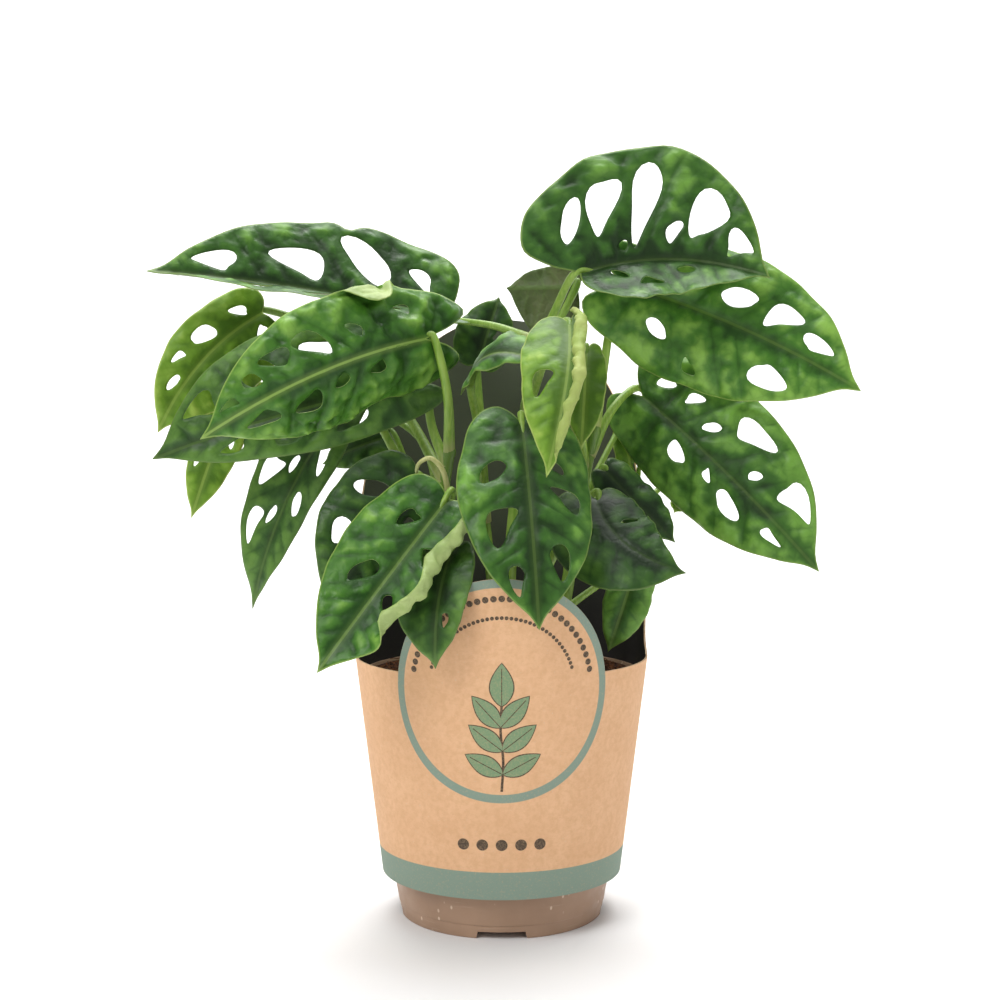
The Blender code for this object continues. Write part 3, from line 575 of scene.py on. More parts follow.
@dataclass(frozen=True)
class BoardFinish:
    """Kraft board with a sage green ring on the ear and a sage green band at the foot.

    The print is placed on the developed cone, whose map is in centimetres from the ear's centre
    and is the same on the left and the right. It bleeds a little, in centimetres too. The glued
    lap runs up the back with a painted shadow line along its edge, and painted light makes the
    inside paler between two heights, all in metres.
    """

    kraft: Colour = colour(228, 184, 143)
    kraft_dark: Colour = colour(208, 160, 118)
    sage: Colour = colour(128, 150, 136)
    inner: Colour = colour(52, 50, 50)
    # Painted light: the paler colour of the inside's upper part.
    inner_painted_light: Colour = colour(86, 92, 76)
    inner_fibre: Colour = colour(92, 88, 84)
    core: Colour = colour(214, 190, 160)
    rough: float = 0.78
    # The heights in metres over which the inside's painted light comes in.
    inner_painted_light_heights: tuple[float, float] = (0.115, 0.165)
    lap: float = 0.008
    bleed: float = 0.012

    def fibre(self, graph: Graph, light: Colour, dark: Colour) -> Socket:
        """The board's colour: soft clouds, short fibres and a few specks.

        Args:
            graph: The material's graph.
            light: The board's main colour.
            dark: The colour of its darker fibres.

        Returns:
            The colour's socket.
        """
        where = graph.place()
        cloud = graph.noise(where, 70, 4, 0.7)
        mottle = graph.noise(where, 420, 3, 0.7)
        thread = graph.noise(graph.stretch(where, (700, 700, 1800)), 1.0, 3, 0.7)
        base = graph.mix(graph.rise(cloud, 0.3, 0.7, 0.0, 0.3), light, dark)
        base = graph.mix(graph.rise(mottle, 0.35, 0.7, 0.0, 0.5), base, dark)
        base = graph.mix(graph.rise(thread, 0.5, 0.75, 0.0, 0.4), base, dark)
        speck = graph.rise(graph.noise(where, 1500, 1), 0.70, 0.78, 0.0, 0.6)
        return graph.mix(speck, base, self.core)

    def printed(self, ring_radius: float, ring_width: float,
                band_top: float) -> Material:
        """The outer face.

        Args:
            ring_radius: The ring's outer radius in centimetres.
            ring_width: The ring's width in centimetres.
            band_top: The band's top edge on the map, in centimetres.

        Returns:
            The material.
        """
        graph = Graph("board_printed", self.rough, 0.3)
        base = self.fibre(graph, self.kraft, self.kraft_dark)
        spot = graph.map("developed")
        reach = graph.add("ShaderNodeVectorMath", {0: spot}, operation="LENGTH").outputs["Value"]
        middle = graph.math("SUBTRACT", reach, ring_radius - ring_width / 2)
        ring = graph.rise(graph.math("ABSOLUTE", middle), ring_width / 2 + self.bleed,
                          ring_width / 2 - self.bleed)
        band = graph.rise(graph.axis(spot, "Y"), band_top + self.bleed, band_top - self.bleed)
        ink = graph.math("MAXIMUM", ring, band)
        worn = graph.rise(graph.noise(graph.place(), 1300, 3, 0.7), 0.30, 0.48, 0.80, 0.97)
        base = graph.mix(graph.times(ink, worn), base, self.sage)
        where = graph.place()
        across = graph.axis(where, "X")
        behind = graph.math("GREATER_THAN", graph.axis(where, "Y"), 0.02)
        gap = graph.math("ABSOLUTE", graph.math("SUBTRACT", across, self.lap))
        shadow = graph.times(graph.rise(gap, 0.0006, 0.0001, 0.0, 0.75), behind)
        base = graph.mix(shadow, base, self.kraft_dark)
        step = graph.rise(across, self.lap - 0.0002, self.lap + 0.0002)
        lap = graph.bump(graph.times(step, behind), 0.0005, 1.0)
        grain = graph.noise(graph.place(), 2400, 3, 0.6)
        return graph.finish(base, None, graph.bump(grain, 0.00005, 0.5, lap))

    def inside(self) -> Material:
        """The inner face, printed near black, with painted light that makes it paler towards its top.
        """
        graph = Graph("board_inner", 0.7, 0.3)
        where = graph.place()
        height = graph.axis(where, "Z")
        # Painted light: near black low down, paler towards the top.
        base = graph.mix(graph.rise(height, *self.inner_painted_light_heights), self.inner, self.inner_painted_light)
        grain = graph.noise(where, 1800, 3, 0.6)
        base = graph.mix(graph.rise(grain, 0.5, 0.8, 0.0, 0.25), base, self.inner_fibre)
        return graph.finish(base, None, graph.bump(grain, 0.00005, 0.5))

    def edge(self) -> Material:
        """The cut edge, where the board's pale core shows."""
        graph = Graph("board_edge", 0.9, 0.2)
        return graph.finish(self.fibre(graph, self.core, self.kraft_dark))


@dataclass(frozen=True)
class InkFinish:
    """A flat printing ink that lets the board's grain through."""

    name: str
    shade: Colour
    board: Colour = colour(214, 176, 136)

    def material(self) -> Material:
        """The ink, a little uneven."""
        graph = Graph(self.name, 0.7, 0.3)
        grain = graph.rise(graph.noise(graph.place(), 1500, 3, 0.7), 0.3, 0.6, 0.22, 0.0)
        return graph.finish(graph.mix(grain, self.shade, self.board))


@dataclass(frozen=True)
class StageFinish:
    """The studio's plain pale paper."""

    def material(self) -> Material:
        """The paper."""
        graph = Graph("studio_paper", 0.9, 0.2)
        return graph.finish(colour(246, 246, 246))


def add_object(name: str, data: bpy.types.ID) -> Object:
    """Puts a new object with some mesh, light or camera in the scene.

    Args:
        name: The object's name.
        data: What the object shows.

    Returns:
        The object.
    """
    made = bpy.data.objects.new(name, data)
    bpy.context.scene.collection.objects.link(made)
    return made


def add_numbers(mesh: Mesh, name: str, values: Array) -> None:
    """Stores one number for each vertex."""
    made = mesh.attributes.new(name, "FLOAT", "POINT")
    made.data.foreach_set("value", np.asarray(values, np.float32))


def add_map(mesh: Mesh, name: str, spots: Array) -> None:
    """Stores a UV map from one flat place for each vertex.

    Args:
        mesh: The mesh.
        name: The map's name.
        spots: The flat places, one a row.
    """
    layer = mesh.uv_layers.new(name=name)
    corners = np.zeros(len(mesh.loops), np.int32)
    mesh.loops.foreach_get("vertex_index", corners)
    layer.uv.foreach_set("vector", np.asarray(spots, np.float32)[corners].ravel())


def build_mesh(name: str, points: Array, faces: list[tuple[int, ...]]) -> Mesh:
    """A smooth-shaded mesh.

    Args:
        name: The mesh's name.
        points: The vertices in metres.
        faces: The faces' corners.

    Returns:
        The mesh.
    """
    mesh = bpy.data.meshes.new(name)
    mesh.from_pydata(np.asarray(points).tolist(), [], faces)
    mesh.shade_smooth()
    return mesh


def plain_copy(obj: Object, name: str) -> Object:
    """The object as its modifiers leave it, as a new plain mesh object. The first one is removed.

    Args:
        obj: The object with live modifiers.
        name: The new object's name.

    Returns:
        The plain object.
    """
    bpy.context.view_layer.update()
    graph = bpy.context.evaluated_depsgraph_get()
    mesh = bpy.data.meshes.new_from_object(obj.evaluated_get(graph))
    mesh.name = name
    bpy.data.objects.remove(obj, do_unlink=True)
    return add_object(name, mesh)


def place_piece(piece: Object, slot: str, *nodes: str) -> None:
    """Rides a piece on the plant's one body and hides the solids that it stands for.

    Args:
        piece: The finished piece.
        slot: The record's material slot. Not used.
        *nodes: The solids that the piece replaces.
    """
    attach(piece, ROOT_BODY)
    if nodes:
        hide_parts(*nodes)
    log.info("%s: %d faces", piece.name, len(piece.data.polygons))


class GeometryTree(NodeMaker):
    """A Geometry Nodes tree with named inputs."""

    def __init__(self, name: str, **inputs: str) -> None:
        """Starts a tree with a geometry input and output.

        Args:
            name: The tree's name.
            **inputs: The kind of each named input, with underscores for spaces.
        """
        super().__init__(bpy.data.node_groups.new(name, "GeometryNodeTree"))
        self.identifiers: dict[str, str] = {}
        self.socket("Geometry", "Geometry")
        self.tree.interface.new_socket("Geometry", in_out="OUTPUT",
                                       socket_type="NodeSocketGeometry")
        for key, kind in inputs.items():
            self.socket(key.replace("_", " "), kind)
        self.start = self.add("NodeGroupInput").outputs
        self.end = self.add("NodeGroupOutput").inputs

    def socket(self, name: str, kind: str) -> None:
        """Adds a named input of a kind and keeps its identifier."""
        made = self.tree.interface.new_socket(name, in_out="INPUT", socket_type="NodeSocket" + kind)
        self.identifiers[name] = made.identifier

    def named(self, name: str, kind: str = "FLOAT") -> Socket:
        """A stored attribute's socket."""
        return self.add("GeometryNodeInputNamedAttribute", {"Name": name}, data_type=kind).outputs[0]

    def close(self, geometry_socket: Socket) -> None:
        """Realises instances, sets the material and ends the tree.

        Args:
            geometry_socket: The geometry to finish.
        """
        real = self.add("GeometryNodeRealizeInstances", {0: geometry_socket})
        dressed = self.add("GeometryNodeSetMaterial",
                           {0: real.outputs[0], "Material": self.start["Material"]})
        self.feed(self.end[0], dressed.outputs[0])

    def run(self, obj: Object, name: str, **values: object) -> Object:
        """Runs the tree on an object and returns the result as a plain mesh object.

        Args:
            obj: The object that carries the input geometry.
            name: The result's name.
            **values: A value for each named input, with underscores for spaces.

        Returns:
            The plain object.
        """
        modifier = obj.modifiers.new("nodes", "NODES")
        modifier.node_group = self.tree
        for key, value in values.items():
            modifier[self.identifiers[key.replace("_", " ")]] = value
        return plain_copy(obj, name)


def stem_tree() -> GeometryTree:
    """A round stem along a path whose points hold a radius.

    Returns:
        The tree, with the inputs Sides and Material.
    """
    tree = GeometryTree("stem_along_path", Sides="Int", Material="Material")
    curve = tree.add("GeometryNodeMeshToCurve", {0: tree.start["Geometry"]})
    length = tree.add("GeometryNodeSplineParameter").outputs["Factor"]
    stored = tree.add("GeometryNodeStoreNamedAttribute",
                      {"Geometry": curve.outputs[0], "Name": "run", "Value": length},
                      data_type="FLOAT", domain="POINT")
    ring = tree.add("GeometryNodeCurvePrimitiveCircle",
                    {"Resolution": tree.start["Sides"], "Radius": 1.0})
    solid = tree.add("GeometryNodeCurveToMesh",
                     {"Curve": stored.outputs[0], "Profile Curve": ring.outputs[0],
                      "Scale": tree.named("radius"), "Fill Caps": True})
    tree.close(tree.add("GeometryNodeSetShadeSmooth", {0: solid.outputs[0]}).outputs[0])
    return tree


@dataclass
class Stem:
    """A stem along a path in metres, with a radius in metres at each point."""

    name: str
    path: Array
    radii: Array
    sides: int = 14

    def build(self, tree: GeometryTree, skin: Material) -> Object:
        """Builds the stem.

        Args:
            tree: The tree that wraps a path in a round stem.
            skin: The stem's material.

        Returns:
            The stem's object.
        """
        mesh = bpy.data.meshes.new(self.name)
        edges = [(i, i + 1) for i in range(len(self.path) - 1)]
        mesh.from_pydata(self.path.tolist(), edges, [])
        add_numbers(mesh, "radius", self.radii)
        carrier = add_object(self.name + "_path", mesh)
        return tree.run(carrier, self.name, Sides=self.sides, Material=skin)


@dataclass
class Vine:
    """A short main stem that stands in the soil, swollen at each node."""

    node: str
    knots: Table
    radius: float = 3.0
    nodes: int = 4
    points: int = 12
    narrowing: float = 0.25
    skin_points: int = 90
    skin_sides: int = 20

    def __post_init__(self) -> None:
        """Works out the path that the petioles spring from."""
        self.path = smooth_path(np.array(self.knots, float) * MM, self.points)

    def point(self, height: float) -> Array:
        """The place in metres at a share of the vine's length, from 0 at the soil."""
        shares = np.linspace(0, 1, len(self.path))
        return np.array([np.interp(height, shares, axis) for axis in self.path.T])

    def build(self, tree: GeometryTree, skin: Material) -> Object:
        """Builds the vine with a ridge and a scar at each node.

        Args:
            tree: The tree that wraps a path in a round stem.
            skin: The stem's material.

        Returns:
            The vine's object.
        """
        path = smooth_path(np.array(self.knots, float) * MM, self.skin_points)
        share = np.linspace(0, 1, len(path))
        beat = np.cos(2 * math.pi * (share * self.nodes - 0.85))
        swell = 1 + 0.16 * smooth_step(beat, 0.72, 1.0) - 0.05 * smooth_step(-beat, 0.2, 1.0)
        radii = self.radius * MM * (1 - self.narrowing * share) * swell
        radii[-3:] *= (0.92, 0.7, 0.3)
        return Stem(self.node + "_skin", path, radii, self.skin_sides).build(tree, skin)


HALF_OUTLINE = (
    (0.00, 0.00), (-0.05, 0.15), (-0.08, 0.36), (-0.05, 0.62), (0.05, 0.84), (0.20, 0.98),
    (0.40, 1.00), (0.58, 0.89), (0.74, 0.67), (0.86, 0.37), (0.94, 0.115), (1.00, 0.00),
)


@dataclass(frozen=True)
class Leaf:
    """A leaf's sizes, the same as its solid's. Pairs hold the left half, then the right.

    Each hole is (place along the midrib, inner end, outer end, width): the ends are shares of the
    half width there, and the width is a share of the length. A flap is (half, place, width,
    degrees), a stretch of margin that is folded over, and a dent (half's number, place, depth,
    width), one that is drawn in. A hem is the angle through which a half's margin rolls. A sheath
    is the path of a dry bract beside the stalk.
    """

    name: str
    vine: str
    height: float
    base: tuple[float, float, float]
    tip: tuple[float, float, float]
    widths: tuple[float, float]
    roll: float = 0.0
    bow: float = 6.0
    sway: float = 0.0
    fold: tuple[float, float] = (8.0, 8.0)
    curl: tuple[float, float] = (30.0, 30.0)
    hem: tuple[float, float] = (0.0, 0.0)
    lobe: tuple[float, float] = (1.0, 1.0)
    wave: float = 1.2
    via: Table = ()
    rise: float = 10.0
    petiole: float = 1.7
    tone: Tone = Tone.GREEN
    left_holes: Table = ()
    right_holes: Table = ()
    pucker: tuple[float, float] = (1.0, 1.0)
    # Brightness of the upper side: partly the leaf's own tone, partly painted light and shade for the
    # light it catches.
    shade: float = 0.0
    pale: float = 0.35
    flap: tuple = ()
    sheath: Table = ()
    hem_start: float = 0.58
    hem_end: float = 1.2
    dent: tuple[float, float, float, float] = (0.0, 0.0, 0.0, 1.0)

    @property
    def node(self) -> str:
        """The solid that the leaf replaces."""
        return "leaf_" + self.name

    @property
    def holes(self) -> tuple[Table, Table]:
        """The holes of the left half and of the right half."""
        return self.left_holes, self.right_holes


LEAVES = (
    Leaf("crown_left", "vine_crown", 0.96, (-24, 33, 250), (-148, 7, 268), (24, 36), roll=55, bow=0,
        sway=-4, fold=(33, 32), curl=(15, 12), lobe=(1.0, 0.3), dent=(1, 0.36, 0.1, 0.035), rise=4,
        petiole=1.5, shade=-0.17, pucker=(0.4, 0.9),
        left_holes=((0.2, 0.3, 0.7, 0.08), (0.42, 0.25, 0.7, 0.1), (0.64, 0.25, 0.65, 0.08)),
        right_holes=((0.1, 0.3, 0.62, 0.06), (0.28, 0.22, 0.78, 0.13), (0.5, 0.16, 0.62, 0.14),
            (0.78, 0.18, 0.66, 0.11))),
    Leaf("crown_right", "vine_crown", 0.88, (32, -8, 266), (109, -12, 264), (48, 30), roll=-32,
        bow=-4, sway=11, fold=(34, 20), curl=(20, -10), lobe=(2.5, 0.5), rise=8, shade=-0.12,
        pucker=(1.0, 0.12), pale=0.1,
        left_holes=((0.03, 0.34, 0.7, 0.1), (0.18, 0.28, 0.78, 0.12), (0.245, 0.1, 0.19, 0.04),
            (0.36, 0.16, 0.82, 0.11), (0.49, 0.14, 0.34, 0.06), (0.64, 0.19, 0.8, 0.13),
            (0.81, 0.15, 0.62, 0.1)),
        right_holes=((0.17, 0.16, 0.36, 0.07), (0.33, 0.45, 0.65, 0.12), (0.57, 0.16, 0.36, 0.09))),
    Leaf("crown_back", "vine_crown", 0.78, (32, 16, 262), (2, 26, 262), (9, 23), roll=180, bow=2,
        curl=(20, 30), lobe=(1.0, 0.4), rise=4, tone=Tone.DARK),
    Leaf("crown_young", "vine_crown", 0.7, (27, -20, 246), (17, -57, 185), (16, 19), roll=10, bow=12,
        sway=4, fold=(15, 3), curl=(-20, 15), hem=(230, 0), hem_start=0.36, wave=0.5,
        via=((16, -2, 226), (22, -10, 243)), rise=6, tone=Tone.YOUNG, shade=-0.28, pucker=(0.8, 0.8),
        right_holes=((0.5, 0.3, 0.76, 0.14),)),
    Leaf("left_bright", "vine_left", 0.95, (-30, -16, 239), (-118, -42, 199), (33, 28), bow=16,
        sway=-4, fold=(-22, 0), curl=(50, 20), lobe=(2.5, 2.8), dent=(0, 0.2, 0.25, 0.13),
        flap=(Half.RIGHT, 0.16, 0.19, 158), via=((-22, -10, 215), (-26, -13, 235)), tone=Tone.BRIGHT,
        shade=-0.1, pucker=(1.7, 2.0), pale=0.75,
        left_holes=((0.23, 0.12, 0.28, 0.06), (0.4, 0.12, 0.28, 0.06), (0.56, 0.2, 0.5, 0.11),
            (0.76, 0.18, 0.54, 0.1)),
        right_holes=((0.06, 0.5, 0.68, 0.05), (0.28, 0.3, 0.5, 0.05), (0.46, 0.22, 0.66, 0.1),
            (0.61, 0.34, 0.7, 0.09), (0.73, 0.28, 0.62, 0.06), (0.84, 0.28, 0.6, 0.05))),
    Leaf("left_dark", "vine_left", 0.88, (-34, 0, 222), (-143, -12, 190), (18, 38), roll=12, bow=11,
        fold=(5, 18), curl=(20, 40), via=((-29, 3, 203), (-31, 3, 218)), tone=Tone.DARK, shade=0.05,
        pucker=(0.8, 0.8),
        left_holes=((0.26, 0.25, 0.72, 0.08), (0.5, 0.28, 0.7, 0.09), (0.7, 0.28, 0.68, 0.07)),
        right_holes=((0.3, 0.3, 0.7, 0.1), (0.54, 0.3, 0.72, 0.11), (0.77, 0.36, 0.8, 0.1))),
    Leaf("left_far", "vine_left", 0.8, (-104, 38, 252), (-147, 20, 200), (24, 17), roll=-10, sway=-6,
        curl=(30, 28), lobe=(0.6, 0.6), via=((-44, 26, 212), (-78, 37, 243)), rise=6, tone=Tone.YOUNG,
        shade=-0.16, pucker=(0.5, 0.5),
        left_holes=((0.08, 0.2, 0.5, 0.08), (0.3, 0.25, 0.6, 0.1), (0.52, 0.2, 0.5, 0.08)),
        right_holes=((0.12, 0.2, 0.56, 0.07), (0.37, 0.2, 0.62, 0.14), (0.56, 0.45, 0.7, 0.06),
            (0.7, 0.18, 0.5, 0.08))),
    Leaf("left_small", "vine_left", 0.7, (-116, 35, 218), (-134, 25, 163), (11, 11), bow=3,
        via=((-38, 30, 200), (-80, 40, 218)), rise=6, petiole=1.3, tone=Tone.YOUNG, shade=-0.2,
        pucker=(0.5, 0.5), left_holes=((0.35, 0.3, 0.66, 0.1),),
        right_holes=((0.55, 0.3, 0.66, 0.1),)),
    Leaf("left_hanging", "vine_left", 0.62, (-63, 12, 216), (-104, 0, 127), (14, 21), roll=25, bow=13,
        fold=(20, 2), curl=(30, 5), via=((-41, 4, 186), (-56, 10, 213)), tone=Tone.DARK, shade=0.15,
        pucker=(0.6, 0.6), left_holes=((0.3, 0.25, 0.7, 0.09), (0.52, 0.25, 0.66, 0.08)),
        right_holes=((0.2, 0.34, 0.8, 0.1), (0.37, 0.12, 0.28, 0.07), (0.43, 0.4, 0.84, 0.11),
            (0.6, 0.12, 0.3, 0.07), (0.66, 0.42, 0.84, 0.12))),
    Leaf("left_inner", "vine_left", 0.52, (-50, 28, 198), (-78, 34, 186), (9, 9), roll=30, bow=2,
        via=((-35, 16, 172),), petiole=1.3, tone=Tone.DARK),
    Leaf("front_left", "vine_front_left", 0.95, (-21, -42, 176), (-69, -77, 113), (27, 25), roll=12,
        bow=2, fold=(12, 0), curl=(-30, 14), hem=(170, 0), hem_end=0.82, lobe=(0.3, 0.6),
        via=((-22, -29, 163),),
        sheath=((-20.5, -30, 168), (-21.5, -33, 179), (-23.5, -35, 187), (-28, -36, 191.5),
            (-32.5, -36, 189.5), (-33.5, -35, 185.5), (-31, -34.5, 182)), tone=Tone.BRIGHT,
        shade=-0.22, pucker=(0.8, 0.8), pale=0.3,
        left_holes=((0.3, 0.2, 0.42, 0.08), (0.58, 0.16, 0.38, 0.07)),
        right_holes=((0.18, 0.18, 0.46, 0.09), (0.5, 0.18, 0.56, 0.11))),
    Leaf("front_left_dark", "vine_front_left", 0.8, (-34, -12, 181), (-72, -30, 134), (20, 26), bow=9,
        lobe=(1.0, 1.3), via=((-31, -12, 160),), tone=Tone.DARK, shade=-0.18, pucker=(0.7, 0.7),
        left_holes=((0.3, 0.25, 0.65, 0.09),),
        right_holes=((0.24, 0.2, 0.76, 0.12), (0.58, 0.18, 0.7, 0.14))),
    Leaf("front_low", "vine_front_left", 0.6, (-19, -52, 157), (-25, -68, 113), (12, 19), roll=24,
        fold=(4, 4), curl=(10, 10), wave=0.6, via=((-19, -34, 143), (-17, -44, 156)), rise=5,
        tone=Tone.DARK, pucker=(0.5, 0.5), left_holes=((0.62, 0.2, 0.48, 0.1),)),
    Leaf("front_centre", "vine_front_right", 0.95, (8, -38, 206), (14, -77, 129), (27, 27), roll=-5,
        fold=(-4, 0), curl=(32, 8), lobe=(2.2, 1.2), via=((13, -25, 178), (9, -32, 202)), shade=-0.12,
        pale=0.15,
        left_holes=((0.24, 0.3, 0.54, 0.05), (0.4, 0.34, 0.78, 0.09), (0.7, 0.26, 0.76, 0.12)),
        right_holes=((0.26, 0.3, 0.66, 0.1), (0.52, 0.22, 0.7, 0.15), (0.78, 0.22, 0.7, 0.09))),
    Leaf("right_bright", "vine_right", 0.95, (52, 6, 262), (147, -10, 218), (33, 33), roll=-14,
        bow=-4, sway=5, fold=(20, 10), curl=(50, 60), lobe=(1.6, 1.9), dent=(0, 0.05, 0.34, 0.14),
        via=((43, 10, 228), (47, 10, 256)), tone=Tone.BRIGHT, pucker=(0.8, 0.6), pale=0.15,
        left_holes=((0.42, 0.2, 0.46, 0.13), (0.6, 0.18, 0.62, 0.1), (0.77, 0.18, 0.56, 0.1)),
        right_holes=((0.16, 0.32, 0.52, 0.09), (0.34, 0.64, 0.84, 0.05), (0.66, 0.34, 0.78, 0.13))),
    Leaf("right_hanging", "vine_right", 0.86, (60, 22, 216), (130, -14, 144), (32, 27), roll=3, bow=2,
        sway=2, fold=(0, -5), curl=(20, 30), lobe=(1.3, 1.4), via=((47, 16, 210),), shade=0.1,
        pucker=(0.8, 0.8), pale=0.12,
        left_holes=((0.04, 0.3, 0.52, 0.06), (0.17, 0.34, 0.54, 0.05), (0.3, 0.2, 0.38, 0.05),
            (0.44, 0.44, 0.8, 0.14), (0.56, 0.16, 0.34, 0.04), (0.74, 0.34, 0.84, 0.14)),
        right_holes=((0.26, 0.16, 0.44, 0.08), (0.42, 0.16, 0.32, 0.04), (0.56, 0.22, 0.54, 0.12),
            (0.77, 0.2, 0.48, 0.07))),
    Leaf("right_olive", "vine_right", 0.8, (35, -2, 235), (32, -22, 194), (9, 9), bow=3,
        via=((33, 1, 208),), rise=5, petiole=1.4, tone=Tone.YOUNG, shade=-0.35, pucker=(0.5, 0.5)),
    Leaf("right_small", "vine_right", 0.66, (53, 33, 202), (58, 33, 174), (6, 6), bow=2, rise=5,
        petiole=1.3, tone=Tone.YOUNG, shade=-0.3, pucker=(0.5, 0.5),
        left_holes=((0.62, 0.2, 0.56, 0.14),)),
    Leaf("right_mid", "vine_right", 0.56, (43, -1, 185), (71, -14, 156), (13, 10), roll=-15, bow=0,
        fold=(-5, 8), curl=(50, 30), rise=5, petiole=1.4, tone=Tone.DARK, shade=-0.2,
        pucker=(0.2, 0.2), pale=0.1, right_holes=((0.45, 0.3, 0.66, 0.1),)),
    Leaf("right_rolled", "vine_right", 0.42, (80, 34, 177), (74, 19, 166), (11, 11), bow=0,
        fold=(0, 0), curl=(-160, -160), wave=0, via=((58, 22, 166), (72, 34, 178)), rise=4,
        petiole=1.3, tone=Tone.YOUNG, shade=-0.3, pucker=(0.2, 0.2)),
    Leaf("low_right", "vine_front_right", 0.82, (38, -20, 175), (72, -46, 147), (17, 24), roll=-15,
        sway=-8, fold=(-5, 14), tone=Tone.DARK, shade=-0.2, pucker=(0.12, 0.12), pale=0.1,
        left_holes=((0.35, 0.3, 0.64, 0.08),), right_holes=((0.3, 0.3, 0.6, 0.08),)),
    # Its raised shade is painted light, for the light on its folded half.
    Leaf("soil_right", "vine_front_right", 0.5, (56, -2, 146), (44, -8, 110), (11, 9), bow=3, rise=5,
        petiole=1.4, shade=0.25),
    Leaf("back_upright", "vine_back", 0.95, (-10, 37, 230), (-1, 41, 259), (14, 12), bow=2,
        tone=Tone.DARK, right_holes=((0.44, 0.22, 0.54, 0.16),)),
    Leaf("centre_arched", "vine_back", 0.85, (-14, -4, 222), (19, -30, 228), (16, 9), roll=-55,
        bow=11, via=((-9, 18, 196), (-13, 2, 219))),
)

VINES = (
    Vine("vine_crown", ((2, 8, 90), (4, 12, 150), (10, 12, 205), (14, 10, 244))),
    Vine("vine_left", ((-22, 2, 90), (-26, 2, 130), (-25, 0, 168), (-21, -4, 196))),
    Vine("vine_front_left", ((-16, -20, 90), (-20, -20, 120), (-24, -18, 150)), 2.6),
    Vine("vine_right", ((22, 2, 90), (27, 6, 130), (33, 10, 170), (40, 8, 205))),
    Vine("vine_front_right", ((12, -18, 90), (14, -20, 120), (18, -18, 156)), 2.6),
    Vine("vine_back", ((0, 28, 90), (-4, 30, 130), (-8, 32, 175)), 2.6),
)


